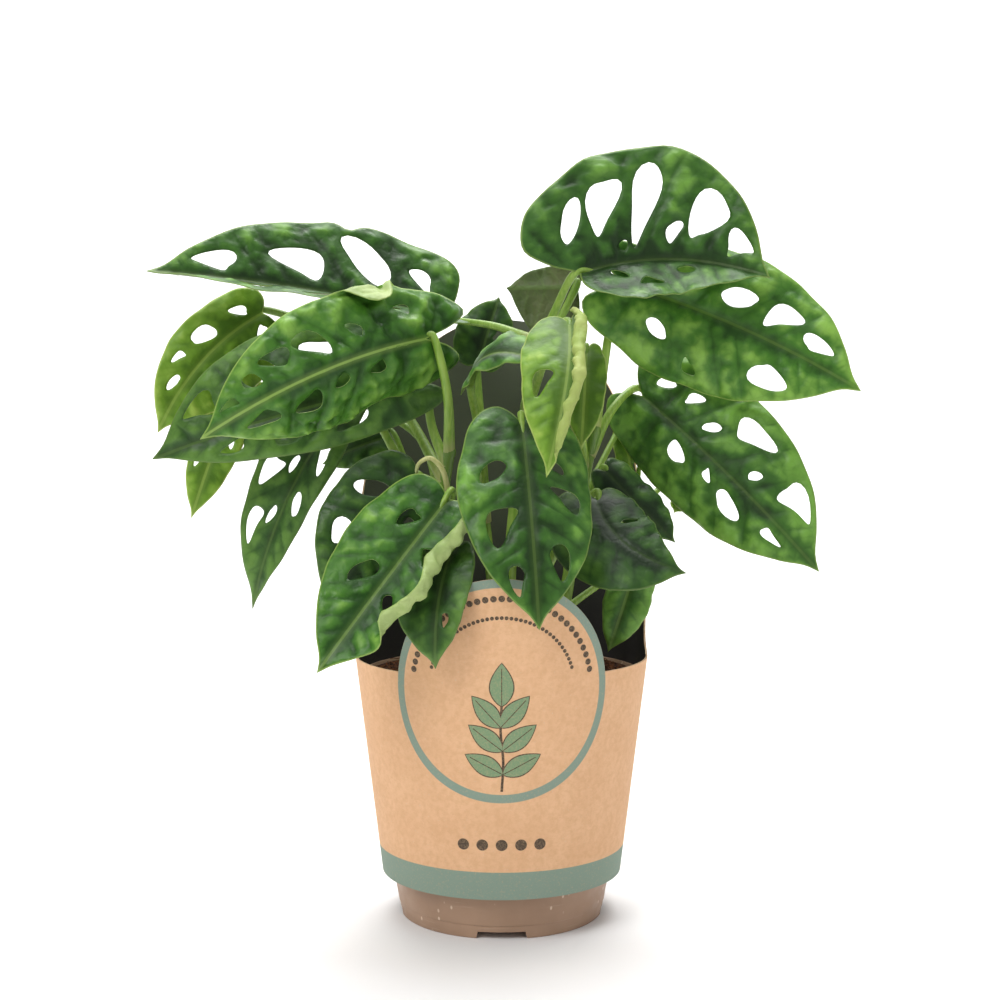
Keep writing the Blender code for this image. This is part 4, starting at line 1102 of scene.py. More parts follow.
@dataclass
class BladeForm:
    """Places points of a leaf's flat pattern on its arched, folded blade."""

    leaf: Leaf
    cross_steps: int = 32
    flap_start: float = 0.9
    flap_zone: float = 0.12
    wave_count: float = 2.6
    wave_offset: float = 0.35
    outline_points: int = 240
    hem_uneven: float = 0.05
    hem_fade: float = 0.2
    probe: float = 0.25 * MM

    def __post_init__(self) -> None:
        """Works out the midrib and the way the blade faces."""
        leaf = self.leaf
        self.base = np.array(leaf.base, float) * MM
        self.tip = np.array(leaf.tip, float) * MM
        self.widths = np.array(leaf.widths, float) * MM
        chord = self.tip - self.base
        self.length = float(np.linalg.norm(chord))
        self.chord = chord / self.length
        front = np.array((0.0, -1.0, 0.0))
        face = front - self.chord * front.dot(self.chord)
        self.face = turn_about(face / np.linalg.norm(face), self.chord, leaf.roll)
        side = np.cross(self.face, self.chord)
        middle = (self.base + self.tip) / 2
        self.control = middle + 2 * MM * (leaf.bow * self.face + leaf.sway * side)
        self.outlines = [self.fine_outline(lobe) for lobe in leaf.lobe]
        self.fronts = [fine[np.argmin(fine[:, 0]) :] for fine in self.outlines]

    def fine_outline(self, lobe: float) -> Array:
        """The half outline as a fine curve, whose lobe reaches back by a share of the usual."""
        knots = [(t * lobe if t < 0 else t, width) for t, width in HALF_OUTLINE]
        return smooth_path(knots, self.outline_points)

    def half_width(self, half: Half, t: Array) -> Array:
        """A half's width at some shares of the midrib, as shares of its widest."""
        return np.interp(t, *self.fronts[half.value].T)

    def midrib(self, t: Array) -> Array:
        """The midrib's places at some shares of its length, in metres, one a row."""
        t = np.asarray(t, float)[:, None]
        return (1 - t) ** 2 * self.base + 2 * t * (1 - t) * self.control + t**2 * self.tip

    def frames(self, t: Array) -> tuple[Array, Array, Array]:
        """The directions ahead, to the left and up along the midrib.

        Args:
            t: Shares of the midrib's length.

        Returns:
            Three arrays of unit vectors, one a row.
        """
        t = np.asarray(t, float)[:, None]
        ahead = 2 * (1 - t) * (self.control - self.base) + 2 * t * (self.tip - self.control)
        ahead /= np.linalg.norm(ahead, axis=1, keepdims=True)
        up = self.face - ahead * (ahead @ self.face)[:, None]
        up /= np.linalg.norm(up, axis=1, keepdims=True)
        return ahead, np.cross(up, ahead), up

    def place(self, t: Array, across: Array) -> Array:
        """Places flat points in space.

        Args:
            t: Shares of the midrib's length.
            across: Distances from the midrib in metres, positive to the left.

        Returns:
            The places in metres, one a row.
        """
        leaf = self.leaf
        half = (across < 0).astype(int)
        reach = np.abs(across)
        share = reach / self.widths[half]
        steps = (np.arange(self.cross_steps) + 0.5) / self.cross_steps
        mids = share[:, None] * steps
        local = np.where(half == 0, self.half_width(Half.LEFT, t), self.half_width(Half.RIGHT, t))
        near = mids / np.clip(local, 0.3, 1.0)[:, None]
        uneven = self.hem_uneven * np.sin(2 * math.pi * 2.3 * t + 0.5)[:, None]
        hem = np.clip((near - leaf.hem_start - uneven) / (1 - leaf.hem_start), 0, 1)
        turn = np.array(leaf.hem, float)[half] * (1 + 0.12 * np.sin(2 * math.pi * 3.3 * t + 1))
        turn = turn * smooth_step(t, leaf.hem_end, leaf.hem_end - self.hem_fade)
        angles = (
            np.array(leaf.fold, float)[half][:, None]
            - np.array(leaf.curl, float)[half][:, None] * mids
            + turn[:, None] * hem
        )
        if leaf.flap:
            side, middle, width, degrees = leaf.flap
            window = smooth_step(np.abs(t - middle), width, width * 0.7) * (half == side.value)
            over = np.clip((mids - self.flap_start) / self.flap_zone, 0, 1)
            angles = angles + degrees * window[:, None] * over
        angles = np.radians(angles)
        out = np.cos(angles).mean(axis=1) * reach
        lift = np.sin(angles).mean(axis=1) * reach
        ripple = np.sin(2 * math.pi * (self.wave_count * t + self.wave_offset * half))
        lift = lift + leaf.wave * MM * np.minimum(1.0, share) ** 2 * ripple
        _, left, up = self.frames(t)
        sign = np.where(half == 0, 1.0, -1.0)
        return self.midrib(t) + left * (out * sign)[:, None] + up * lift[:, None]

    def normals(self, t: Array, across: Array) -> Array:
        """The blade's upward normals, from small steps along and across it.

        Args:
            t: Shares of the midrib's length.
            across: Distances from the midrib in metres.

        Returns:
            Unit vectors, one a row.
        """
        step = self.probe / self.length
        along = self.place(t + step, across) - self.place(t - step, across)
        aside = self.place(t, across + self.probe) - self.place(t, across - self.probe)
        normal = np.cross(along, aside)
        return normal / np.maximum(np.linalg.norm(normal, axis=1, keepdims=True), 1e-12)


@dataclass
class BladeMesh:
    """Cuts a leaf's flat pattern into fine triangles and raises its relief."""

    leaf: Leaf
    spacing: float = 1.15 * MM
    clearance: float = 0.55 * spacing
    tolerance: float = 1e-8
    rim_points: int = 62
    hole_points: int = 26
    outline_uneven: float = 0.018
    hole_uneven: float = 0.1
    hole_egg: float = 0.42
    vein_slant: float = 0.16
    flap_reach: float = 0.48
    thickness: float = 0.5 * MM
    rim_thickness: float = 0.24 * MM

    def __post_init__(self) -> None:
        """Works out the leaf's form and the seed of its unevenness."""
        self.form = BladeForm(self.leaf)
        self.seed = sum(ord(letter) for letter in self.leaf.name)

    def half_rim(self, half: Half) -> Array:
        """A half's margin from the petiole to the tip, evenly spread along it.

        Args:
            half: The half.

        Returns:
            Flat points in metres, as (along, across).
        """
        fine = self.form.outlines[half.value].copy()
        share = np.linspace(0, 1, len(fine))
        phase = self.seed + 2.4 * half.value
        uneven = np.sin(2 * math.pi * 3.1 * share + phase) + 0.7 * np.sin(
            2 * math.pi * 5.3 * share + 1.9 * phase
        )
        fine[:, 1] *= 1 + self.outline_uneven * uneven * np.sin(math.pi * share)
        side, place, depth, reach = self.leaf.dent
        if side == half.value:
            fine[:, 1] *= 1 - depth * bell(fine[:, 0] - place, reach)
        if self.leaf.flap and self.leaf.flap[0] is half:
            _, place, reach, _ = self.leaf.flap
            near = smooth_step(np.abs(fine[:, 0] - place), reach * 0.68, reach * 0.1)
            fine[:, 1] += self.flap_reach * near
        fine = fine * (self.form.length, self.form.widths[half.value])
        gaps = np.hypot(*np.diff(fine, axis=0).T)
        run = np.concatenate([[0], np.cumsum(gaps)])
        picks = np.linspace(0, run[-1], self.rim_points)
        spots = np.column_stack([np.interp(picks, run, fine[:, k]) for k in (0, 1)])
        return spots * (1, half.sign)

    def hole_rim(self, half: Half, hole: tuple[float, ...], number: int) -> Array:
        """A hole's rim: an egg that slants forward as the side veins do, a little uneven.

        Args:
            half: The half that it is in.
            hole: The hole's place, inner end, outer end and width.
            number: The hole's number, which its unevenness comes from.

        Returns:
            Flat points in metres, as (along, across).
        """
        place, inner, outer, width = hole
        middle = (inner + outer) / 2
        angles = 2 * math.pi * np.arange(self.hole_points) / self.hole_points
        phase = self.seed + 1.7 * number
        waves = np.sin(2 * angles + phase) + np.sin(3 * angles + 2.1 * phase)
        uneven = 1 + self.hole_uneven * waves
        along = -np.cos(angles) * uneven
        shares = middle + (outer - inner) / 2 * along
        aside = 0.5 * width * np.sin(angles) * uneven * (1.06 + self.hole_egg * along)
        t = place + self.vein_slant * (shares - middle) + aside
        across = shares * self.form.half_width(half, t) * self.form.widths[half.value]
        return np.column_stack([t * self.form.length, across * half.sign])

    def inner_points(self, loops: list[Array]) -> Array:
        """An even grid of flat points that stay clear of the midrib and of every rim.

        Args:
            loops: The margin, then the holes.

        Returns:
            The points in metres, one a row.
        """
        low, high = loops[0].min(axis=0), loops[0].max(axis=0)
        rows = np.arange(low[1], high[1], self.spacing * 0.866)
        grid = []
        for number, across in enumerate(rows):
            shift = 0.5 * self.spacing * (number % 2)
            for along in np.arange(low[0] + shift, high[0], self.spacing):
                grid.append((along, across))
        grid = np.array(grid)
        grid = grid[in_sheet(grid, loops) & (np.abs(grid[:, 1]) > self.clearance)]
        return grid[distance_to_loops(grid, loops) > self.clearance]

    def pattern(self) -> tuple[Array, list[tuple[int, ...]], list[Array]]:
        """Cuts the flat pattern.

        Returns:
            The flat points in metres, the triangles, and the margin's and the holes' loops.
        """
        loops = [np.vstack([self.half_rim(Half.LEFT), self.half_rim(Half.RIGHT)[-2:0:-1]])]
        for half in Half:
            for number, hole in enumerate(self.leaf.holes[half.value]):
                loops.append(self.hole_rim(half, hole, number))
        points = []
        edges = []
        for loop in loops:
            edges += loop_edges(len(points), len(loop))
            points += loop.tolist()
        rib_count = int(self.form.length / self.spacing)
        places = np.linspace(0, self.form.length, rib_count)[1:-1]
        chain = [0, *range(len(points), len(points) + len(places)), self.rim_points - 1]
        edges += zip(chain, chain[1:])
        points += [(place, 0.0) for place in places]
        points += self.inner_points(loops).tolist()
        return *cut_sheet(points, edges, loops, self.tolerance), loops

    def build(self, finish: dict[str, Material]) -> Object:
        """Builds the blade with its upper side, underside and rim.

        Args:
            finish: The materials upper, lower and rim.

        Returns:
            The blade's object.
        """
        spots, upper, loops = self.pattern()
        relief = Relief(self, spots, loops)
        normal = self.form.normals(relief.t, relief.across)
        middle = self.form.place(relief.t, relief.across)
        thick = self.rim_thickness + (self.thickness - self.rim_thickness) * smooth_step(
            relief.edge, 0, 1)
        height = relief.height()
        top = middle + normal * (height * MM + thick / 2)[:, None]
        bottom = middle + normal * ((height - relief.ridges()) * MM - thick / 2)[:, None]
        count = len(spots)
        lower, rims = close_sheet(upper, count)
        name = self.leaf.node + "_blade"
        mesh = build_mesh(name, np.vstack([top, bottom]), upper + lower + rims)
        for key in ("upper", "lower", "rim"):
            mesh.materials.append(finish[key])
        index = [0] * len(upper) + [1] * len(lower) + [2] * len(rims)
        mesh.polygons.foreach_set("material_index", index)
        # shade carries the per-leaf tone with its painted light and shade.
        numbers = {"rib": relief.rib, "edge": relief.edge, "brim": relief.brim,
                   "cell": relief.cell, "pitch": relief.pitch, "painted_light_and_tone": relief.painted_light_and_tone(),
                   "shade": np.full(count, self.leaf.shade), "run": np.ones(count),
                   "pale": np.full(count, self.leaf.pale)}
        for key, values in numbers.items():
            add_numbers(mesh, key, np.tile(values, 2))
        add_map(mesh, "blade", np.vstack([spots, spots]) * CM_PER_M)
        return add_object(name, mesh)


@dataclass(frozen=True)
class SideVeins:
    """Where a leaf's side veins run: between its holes, at a steady pitch elsewhere."""

    leaf: Leaf
    form: BladeForm
    pitch: float = 0.13
    merge_gap: float = 0.06
    fan_end: float = 0.25

    def start(self, t: Array, share: Array) -> Array:
        """Where the side vein through a point starts, as a share of the midrib."""
        slanted, fanned = t - 0.2 * share, (t + 0.15 * share) / (1 + 1.4 * share)
        return np.where(slanted >= self.fan_end, slanted, fanned)

    def stations(self, half: Half) -> Array:
        """The places of a half's side veins.

        Args:
            half: The half.

        Returns:
            The places along the midrib, in order.
        """
        middles = sorted(
            float(self.start(np.array(place), np.array((inner + outer) / 2)))
            for place, inner, outer, _ in self.leaf.holes[half.value]
        )
        merged: list[float] = []
        for value in middles:
            if merged and value - merged[-1] < self.merge_gap:
                merged[-1] = (merged[-1] + value) / 2
            else:
                merged.append(value)
        pitch = self.pitch * float(np.clip(0.08 / self.form.length, 1.0, 1.7))
        if not merged:
            return np.arange(-0.2, 1.2, pitch)
        stations = [merged[0] - pitch * 0.75]
        for a, b in zip(merged, merged[1:]):
            stations.append((a + b) / 2)
            if b - a > 1.9 * pitch:
                stations[-1:] = [a + (b - a) / 3, b - (b - a) / 3]
        stations.append(merged[-1] + pitch * 0.6)
        while stations[0] > -0.2:
            stations.insert(0, stations[0] - pitch)
        while stations[-1] < 1.1:
            stations.append(stations[-1] + pitch * 0.7)
        return np.array(stations)

    def cells(self, spots: Array) -> tuple[Array, Array]:
        """The count of side veins up to each flat point, and their pitch there.

        Args:
            spots: Flat points in metres.

        Returns:
            The counts, whole on a vein, and the pitch in millimetres.
        """
        t = spots[:, 0] / self.form.length
        cell = np.zeros(len(spots))
        pitch = np.zeros(len(spots))
        for half in Half:
            mine = (spots[:, 1] >= 0) if half is Half.LEFT else (spots[:, 1] < 0)
            share = np.abs(spots[mine, 1]) / self.form.widths[half.value]
            start = self.start(t[mine], share)
            stations = self.stations(half)
            cell[mine] = np.interp(start, stations, np.arange(len(stations)))
            pitch[mine] = np.interp(start, stations, np.gradient(stations)) * self.form.length / MM
        return cell, pitch


class Relief:
    """A leaf's puckers, veins and folds at its flat points. Depths and reaches are in millimetres."""

    lump_size = 7.0
    pucker_depth = 0.03
    sunk = 0.35
    rib_groove, rib_groove_reach = 0.35, 1.1
    rib_ridge, rib_ridge_reach = 0.75, 0.9
    vein_groove, vein_groove_reach = 0.2, 0.7
    vein_ridge, vein_ridge_reach = 0.22, 0.55
    lip, lip_reach = 0.08, 1.3
    flutter, flutter_reach = 0.3, 5.0
    roll_folds = 0.5

    def __init__(self, blade: BladeMesh, spots: Array, loops: list[Array]) -> None:
        """Works out what the relief depends on at each point.

        Args:
            blade: The blade.
            spots: Its flat points in metres.
            loops: Its margin and its holes.
        """
        self.leaf = blade.leaf
        self.seed = blade.seed
        form = blade.form
        self.t = spots[:, 0] / form.length
        self.across = spots[:, 1]
        left = self.across >= 0
        self.rib = np.abs(self.across) / MM
        self.edge = distance_to_loops(spots, loops) / MM
        self.brim = distance_to_loops(spots, loops[:1]) / MM
        self.cell, self.pitch = SideVeins(self.leaf, form).cells(spots)
        self.vein_gap = np.abs(self.cell - np.round(self.cell)) * self.pitch
        self.lumps = np.array([
            noise.noise(Vector((*spot * 1000 / self.lump_size, self.seed)))
            + 0.6 * noise.noise(Vector((*spot * 2200 / self.lump_size, self.seed + 9)))
            for spot in spots
        ])
        swell = np.abs(np.sin(math.pi * self.cell)) ** 0.7
        self.swell = swell * np.clip(0.9 + 0.5 * self.lumps, 0.4, 1.3)
        self.beside = smooth_step(self.rib, 0.8, 6.0)
        self.within = smooth_step(self.edge, 0.0, 4.5)
        local = np.where(left, *(form.half_width(half, self.t) for half in Half))
        share = np.abs(self.across) / np.where(left, *form.widths)
        self.outer = np.clip(share / np.maximum(local, 0.2), 0, 1)
        self.rolled = smooth_step(share, 0.5, 0.7) * (np.where(left, *self.leaf.hem) != 0)
        own = np.where(left, *self.leaf.pucker)
        mean = sum(self.leaf.pucker) / 2
        pucker = mean + (own - mean) * smooth_step(self.rib, 0, 4)
        self.depth = pucker * self.pucker_depth * max(self.leaf.widths)

    def height(self) -> Array:
        """How far the upper side stands above the smooth blade."""
        height = self.depth * (self.swell * self.beside * self.within - self.sunk)
        height += self.depth * (0.25 + 0.6 * self.outer) * self.lumps * self.within
        vein = bell(self.vein_gap, self.vein_groove_reach) * self.within * self.beside
        height -= self.vein_groove * self.depth * vein
        rib = bell(self.rib, self.rib_groove_reach) * smooth_step(self.t, 1.0, 0.6)
        height -= self.rib_groove * rib
        wave = np.sin(2 * math.pi * (6.3 * self.t + 0.37 * self.seed))
        wave *= 1 - smooth_step(self.edge, 0, self.flutter_reach)
        height += self.lip * bell(self.edge, self.lip_reach) + self.flutter * wave
        folds = np.sin(2 * math.pi * 6 * self.t + self.lumps * 5)
        folds += 0.6 * np.sin(2 * math.pi * 13 * self.t + 2)
        return height + self.rolled * self.roll_folds * folds

    def ridges(self) -> Array:
        """How far the veins stand out of the underside."""
        rib = bell(self.rib, self.rib_ridge_reach) * (1 - 0.7 * self.t)
        vein = bell(self.vein_gap, self.vein_ridge_reach) * self.within
        return self.rib_ridge * rib + self.vein_ridge * vein

    def painted_light_and_tone(self) -> Array:
        """The lightness of the upper side: painted highlight on the raised puckers, painted shade in
        the sunk veins and beside the midrib, and a tone that varies and is lighter outwards and
        towards the tip.
        """
        # Painted highlight on the puckers' crowns, painted shade in the veins and beside the midrib.
        cells = 0.4 * (self.swell * self.beside - 0.5) * self.within
        spread = 0.25 * self.lumps + 0.3 * (self.outer - 0.4)
        return 0.38 + cells + spread + 0.16 * smooth_step(self.t, 0.55, 0.95)


@dataclass(frozen=True)
class Petiole:
    """The stalk from the middle of the vine to a keel under the blade's base."""

    leaf: Leaf
    form: BladeForm
    vine: Vine
    keel_stations: tuple[float, float] = (0.09, 0.2)
    keel_shares: tuple[float, float] = (0.8, 0.5)
    keel_sink: float = 0.5 * MM
    points: int = 44

    def knots(self) -> list[Array]:
        """The places that the stalk passes through.

        Returns:
            The places in metres, from the vine to the keel.
        """
        leaf, form = self.leaf, self.form
        root = self.vine.point(leaf.height)
        ahead, _, up = (vectors[0] for vectors in form.frames(np.array([0.0])))
        rise = leaf.rise * MM
        lift = np.array((0.0, 0.0, 1.0))
        if leaf.via:
            knots = [root] + [np.array(p) * MM for p in leaf.via]
        else:
            knots = [root, root + 0.45 * (form.base - root) + 0.35 * rise * lift]
        thick = leaf.petiole * MM
        seat = form.base - up * (self.keel_sink + thick)
        knots.append(seat - ahead * 0.3 * rise + lift * 0.2 * rise)
        stations = np.array(self.keel_stations)
        _, _, above = form.frames(stations)
        for middle, direction, share in zip(form.midrib(stations), above, self.keel_shares):
            knots.append(middle - direction * (self.keel_sink + share * thick))
        return knots

    def build(self, tree: GeometryTree, skin: Material) -> Object:
        """Builds the stalk, with a sheath at its foot and a knee below the blade.

        Args:
            tree: The tree that wraps a path in a round stem.
            skin: The stem's material.

        Returns:
            The stalk's object.
        """
        knots = self.knots()
        path = smooth_path(knots, self.points)
        share = np.linspace(0, 1, self.points)
        free = (len(knots) - 3) / (len(knots) - 1)
        body = np.interp(share, [0, free, 1], [1.25, 0.86, 0.45])
        sheath = 0.22 * smooth_step(share, 0.32 * free, 0.0)
        knee = 0.12 * bell(share - free * 0.93, 0.05)
        radii = self.leaf.petiole * MM * (body + sheath + knee)
        radii[-1] *= 0.4
        return Stem(self.leaf.node + "_stalk", path, radii).build(tree, skin)


def join(name: str, parts: list[Object]) -> Object:
    """Joins objects into the first one.

    Args:
        name: The joined object's name.
        parts: The objects.

    Returns:
        The joined object.
    """
    with bpy.context.temp_override(
        active_object=parts[0], object=parts[0], selected_objects=parts,
        selected_editable_objects=parts
    ):
        bpy.ops.object.join()
    parts[0].name = name
    return parts[0]


@dataclass
class Foliage:
    """All the leaves on their vines."""

    leaves: tuple[Leaf, ...] = LEAVES
    vines: tuple[Vine, ...] = VINES
    sheath_points: int = 36
    sheath_radii: tuple[float, float] = (1.3, 0.6)

    def build(self) -> None:
        """Builds the vines and the leaves, and rides them on the plant."""
        tree = stem_tree()
        skin = StemFinish().material()
        dry = StemFinish("sheath_skin", colour(206, 204, 146), colour(166, 168, 98)).material()
        finishes = {
            finish.tone: {"upper": finish.upper(), "lower": finish.lower(), "rim": finish.rim()}
            for finish in LEAF_FINISHES
        }
        by_name = {}
        for vine in self.vines:
            by_name[vine.node] = vine
            place_piece(vine.build(tree, skin), "stem_green", vine.node)
        for leaf in self.leaves:
            blade = BladeMesh(leaf)
            stalk = Petiole(leaf, blade.form, by_name[leaf.vine])
            parts = [blade.build(finishes[leaf.tone]), stalk.build(tree, skin)]
            if leaf.sheath:
                path = smooth_path(np.array(leaf.sheath) * MM, self.sheath_points)
                radii = np.linspace(*self.sheath_radii, self.sheath_points) * MM
                parts.append(Stem(leaf.node + "_sheath", path, radii).build(tree, dry))
            piece = join(leaf.node + "_dressed", parts)
            place_piece(piece, leaf.tone.value, leaf.node)


@dataclass
class NurseryPot:
    """The turned plastic pot, in millimetres."""

    height: float = 101.0
    rim_radius: float = 58.9
    rim_depth: float = 5.0
    neck_radius: float = 56.4
    belt_radius: float = 44.2
    belt_height: float = 11.0
    belt_depth: float = 6.0
    belt_step: float = 0.8
    foot_radius: float = 42.0
    wall: float = 1.4
    floor: float = 5.0
    foot_ring: float = 6.0
    line_height: float = 5.2
    slots: int = 4
    slot_top: float = 19.0
    slot_foot: float = 21.0
    slot_height: float = 3.0
    drains: int = 6
    drain_radius: float = 3.5
    drain_circle: float = 22.0
    sides: int = 192

    def profile(self) -> list[tuple[float, float]]:
        """The turned profile, down the outside and back up the inside.

        Returns:
            Places as (radius, height) in millimetres.
        """
        line = self.foot_radius + self.belt_step
        inner_foot = self.foot_radius - self.foot_ring
        neck = self.height - self.rim_depth
        return [
            (self.rim_radius - self.wall, self.height), (self.rim_radius - 0.5, self.height),
            (self.rim_radius, self.height - 0.5), (self.rim_radius - 0.4, neck),
            (self.neck_radius, neck - 0.4),
            (self.belt_radius + self.belt_step, self.belt_height + self.belt_depth),
            (self.belt_radius + 0.1, self.belt_height + 0.4),
            (self.belt_radius - 0.1, self.belt_height - 0.4),
            (line + 0.45, self.line_height + 0.5), (line + 0.1, self.line_height + 0.3),
            (line + 0.1, self.line_height - 0.1), (self.foot_radius + 0.25, 0.4),
            (self.foot_radius - 0.15, 0.0), (inner_foot, 0.0),
            (inner_foot, self.floor - self.wall), (0.0, self.floor - self.wall), (0.0, self.floor),
            (self.belt_radius - self.wall - 3.2, self.floor),
            (self.belt_radius - self.wall, self.belt_height),
            (self.neck_radius - self.wall, neck - 0.8), (self.rim_radius - self.wall, self.height),
        ]

    def slot_cutter(self, angle: float) -> Object:
        """A cutter for one slot through the foot ring, wider at the foot.

        Args:
            angle: The slot's angle from the front, in radians.

        Returns:
            The cutter.
        """
        low, high = -1.0, self.slot_height
        near = self.foot_radius - self.foot_ring - 2
        far = self.foot_radius + 3
        corners = []
        for radius in (near, far):
            corners += [(-self.slot_foot / 2, radius, low), (self.slot_foot / 2, radius, low),
                        (self.slot_top / 2, radius, high), (-self.slot_top / 2, radius, high)]
        points = []
        for x, y, z in corners:
            across, deep = x * MM, -y * MM
            points.append((across * math.cos(angle) - deep * math.sin(angle),
                           across * math.sin(angle) + deep * math.cos(angle), z * MM))
        faces = [(0, 1, 2, 3), (7, 6, 5, 4), (0, 4, 5, 1), (1, 5, 6, 2), (2, 6, 7, 3), (3, 7, 4, 0)]
        mesh = bpy.data.meshes.new("slot")
        mesh.from_pydata(points, [], [tuple(reversed(face)) for face in faces])
        return add_object("slot", mesh)

    def build(self) -> None:
        """Builds the pot and rides it on the plant."""
        spots = self.profile()
        mesh = bpy.data.meshes.new("pot_profile")
        points = [(radius * MM, 0.0, height * MM) for radius, height in spots]
        mesh.from_pydata(points, [(i, i + 1) for i in range(len(points) - 1)], [])
        pot = add_object("pot_profile", mesh)
        turn = pot.modifiers.new("turn", "SCREW")
        turn.steps = turn.render_steps = self.sides
        turn.use_merge_vertices = True
        turn.merge_threshold = 0.00001
        cutters = [self.slot_cutter(2 * math.pi * i / self.slots) for i in range(self.slots)]
        for i in range(self.drains):
            angle = 2 * math.pi * (i + 0.5) / self.drains
            reach = self.drain_circle * MM
            bpy.ops.mesh.primitive_cylinder_add(
                vertices=32,
                radius=self.drain_radius * MM,
                depth=4 * self.floor * MM,
                location=(reach * math.cos(angle), reach * math.sin(angle), 0),
            )
            cutters.append(bpy.context.object)
        for cutter in cutters:
            cut = pot.modifiers.new("cut", "BOOLEAN")
            cut.operation = "DIFFERENCE"
            cut.solver = "EXACT"
            cut.object = cutter
        piece = plain_copy(pot, "pot_turned")
        for cutter in cutters:
            bpy.data.objects.remove(cutter, do_unlink=True)
        piece.data.materials.clear()
        piece.data.materials.append(PotFinish().material())
        piece.data.shade_smooth()
        piece.data.set_sharp_from_angle(angle=math.radians(35))
        place_piece(piece, "pot_plastic", "pot")


def crumb_tree() -> GeometryTree:
    """Crumbs and short fibres strewn over a surface.

    Returns:
        The tree, with the inputs Density, Size, Fibre Density, Seed and Material.
    """
    tree = GeometryTree("strewn_crumbs", Density="Float", Size="Float", Fibre_Density="Float",
                        Seed="Int", Material="Material")
    start = tree.start
    full_turn = 6.28

    def vectors(low: tuple, high: tuple, seed: int) -> Socket:
        """A random vector for each point."""
        return tree.add("FunctionNodeRandomValue", {"Min": low, "Max": high, "Seed": seed},
                        data_type="FLOAT_VECTOR").outputs[0]

    def strew(density: object, seed: object, instance: Socket,
              turn: Socket, size: Socket) -> Socket:
        """Instances on points spread at random over the surface."""
        spots = tree.add("GeometryNodeDistributePointsOnFaces",
                         {"Mesh": start["Geometry"], "Density": density, "Seed": seed})
        return tree.add("GeometryNodeInstanceOnPoints",
                        {"Points": spots.outputs[0], "Instance": instance,
                         "Rotation": turn, "Scale": size}).outputs[0]

    lump = tree.add("GeometryNodeMeshIcoSphere", {"Radius": 1.0, "Subdivisions": 1}).outputs[0]
    lump_size = tree.add("ShaderNodeVectorMath",
                         {0: vectors((0.4, 0.4, 0.3), (1.7, 1.1, 0.8), 5), "Scale": start["Size"]},
                         operation="SCALE").outputs[0]
    lump_turn = vectors((0.0, 0.0, 0.0), (full_turn, full_turn, full_turn), 3)
    strand = tree.add("GeometryNodeCurveQuadraticBezier",
                      {"Resolution": 5, "Start": (-3.5 * MM, 0, -0.3 * MM),
                       "Middle": (0, 1.6 * MM, 1.4 * MM), "End": (3.8 * MM, -0.4 * MM, 0.1 * MM)})
    section = tree.add("GeometryNodeCurvePrimitiveCircle", {"Resolution": 3, "Radius": 0.13 * MM})
    fibre = tree.add("GeometryNodeCurveToMesh",
                     {"Curve": strand.outputs[0], "Profile Curve": section.outputs[0],
                      "Fill Caps": True}).outputs[0]
    fibre_turn = vectors((-0.35, -0.5, 0.0), (0.35, 0.3, full_turn), 7)
    fibre_size = tree.add("FunctionNodeRandomValue", {2: 0.5, 3: 1.4, "Seed": 13},
                          data_type="FLOAT").outputs[1]
    both = tree.add("GeometryNodeJoinGeometry")
    tree.feed(both.inputs[0], strew(start["Density"], start["Seed"], lump, lump_turn, lump_size))
    tree.feed(both.inputs[0], strew(start["Fibre Density"], 11, fibre, fibre_turn, fibre_size))
    tree.close(both.outputs[0])
    return tree


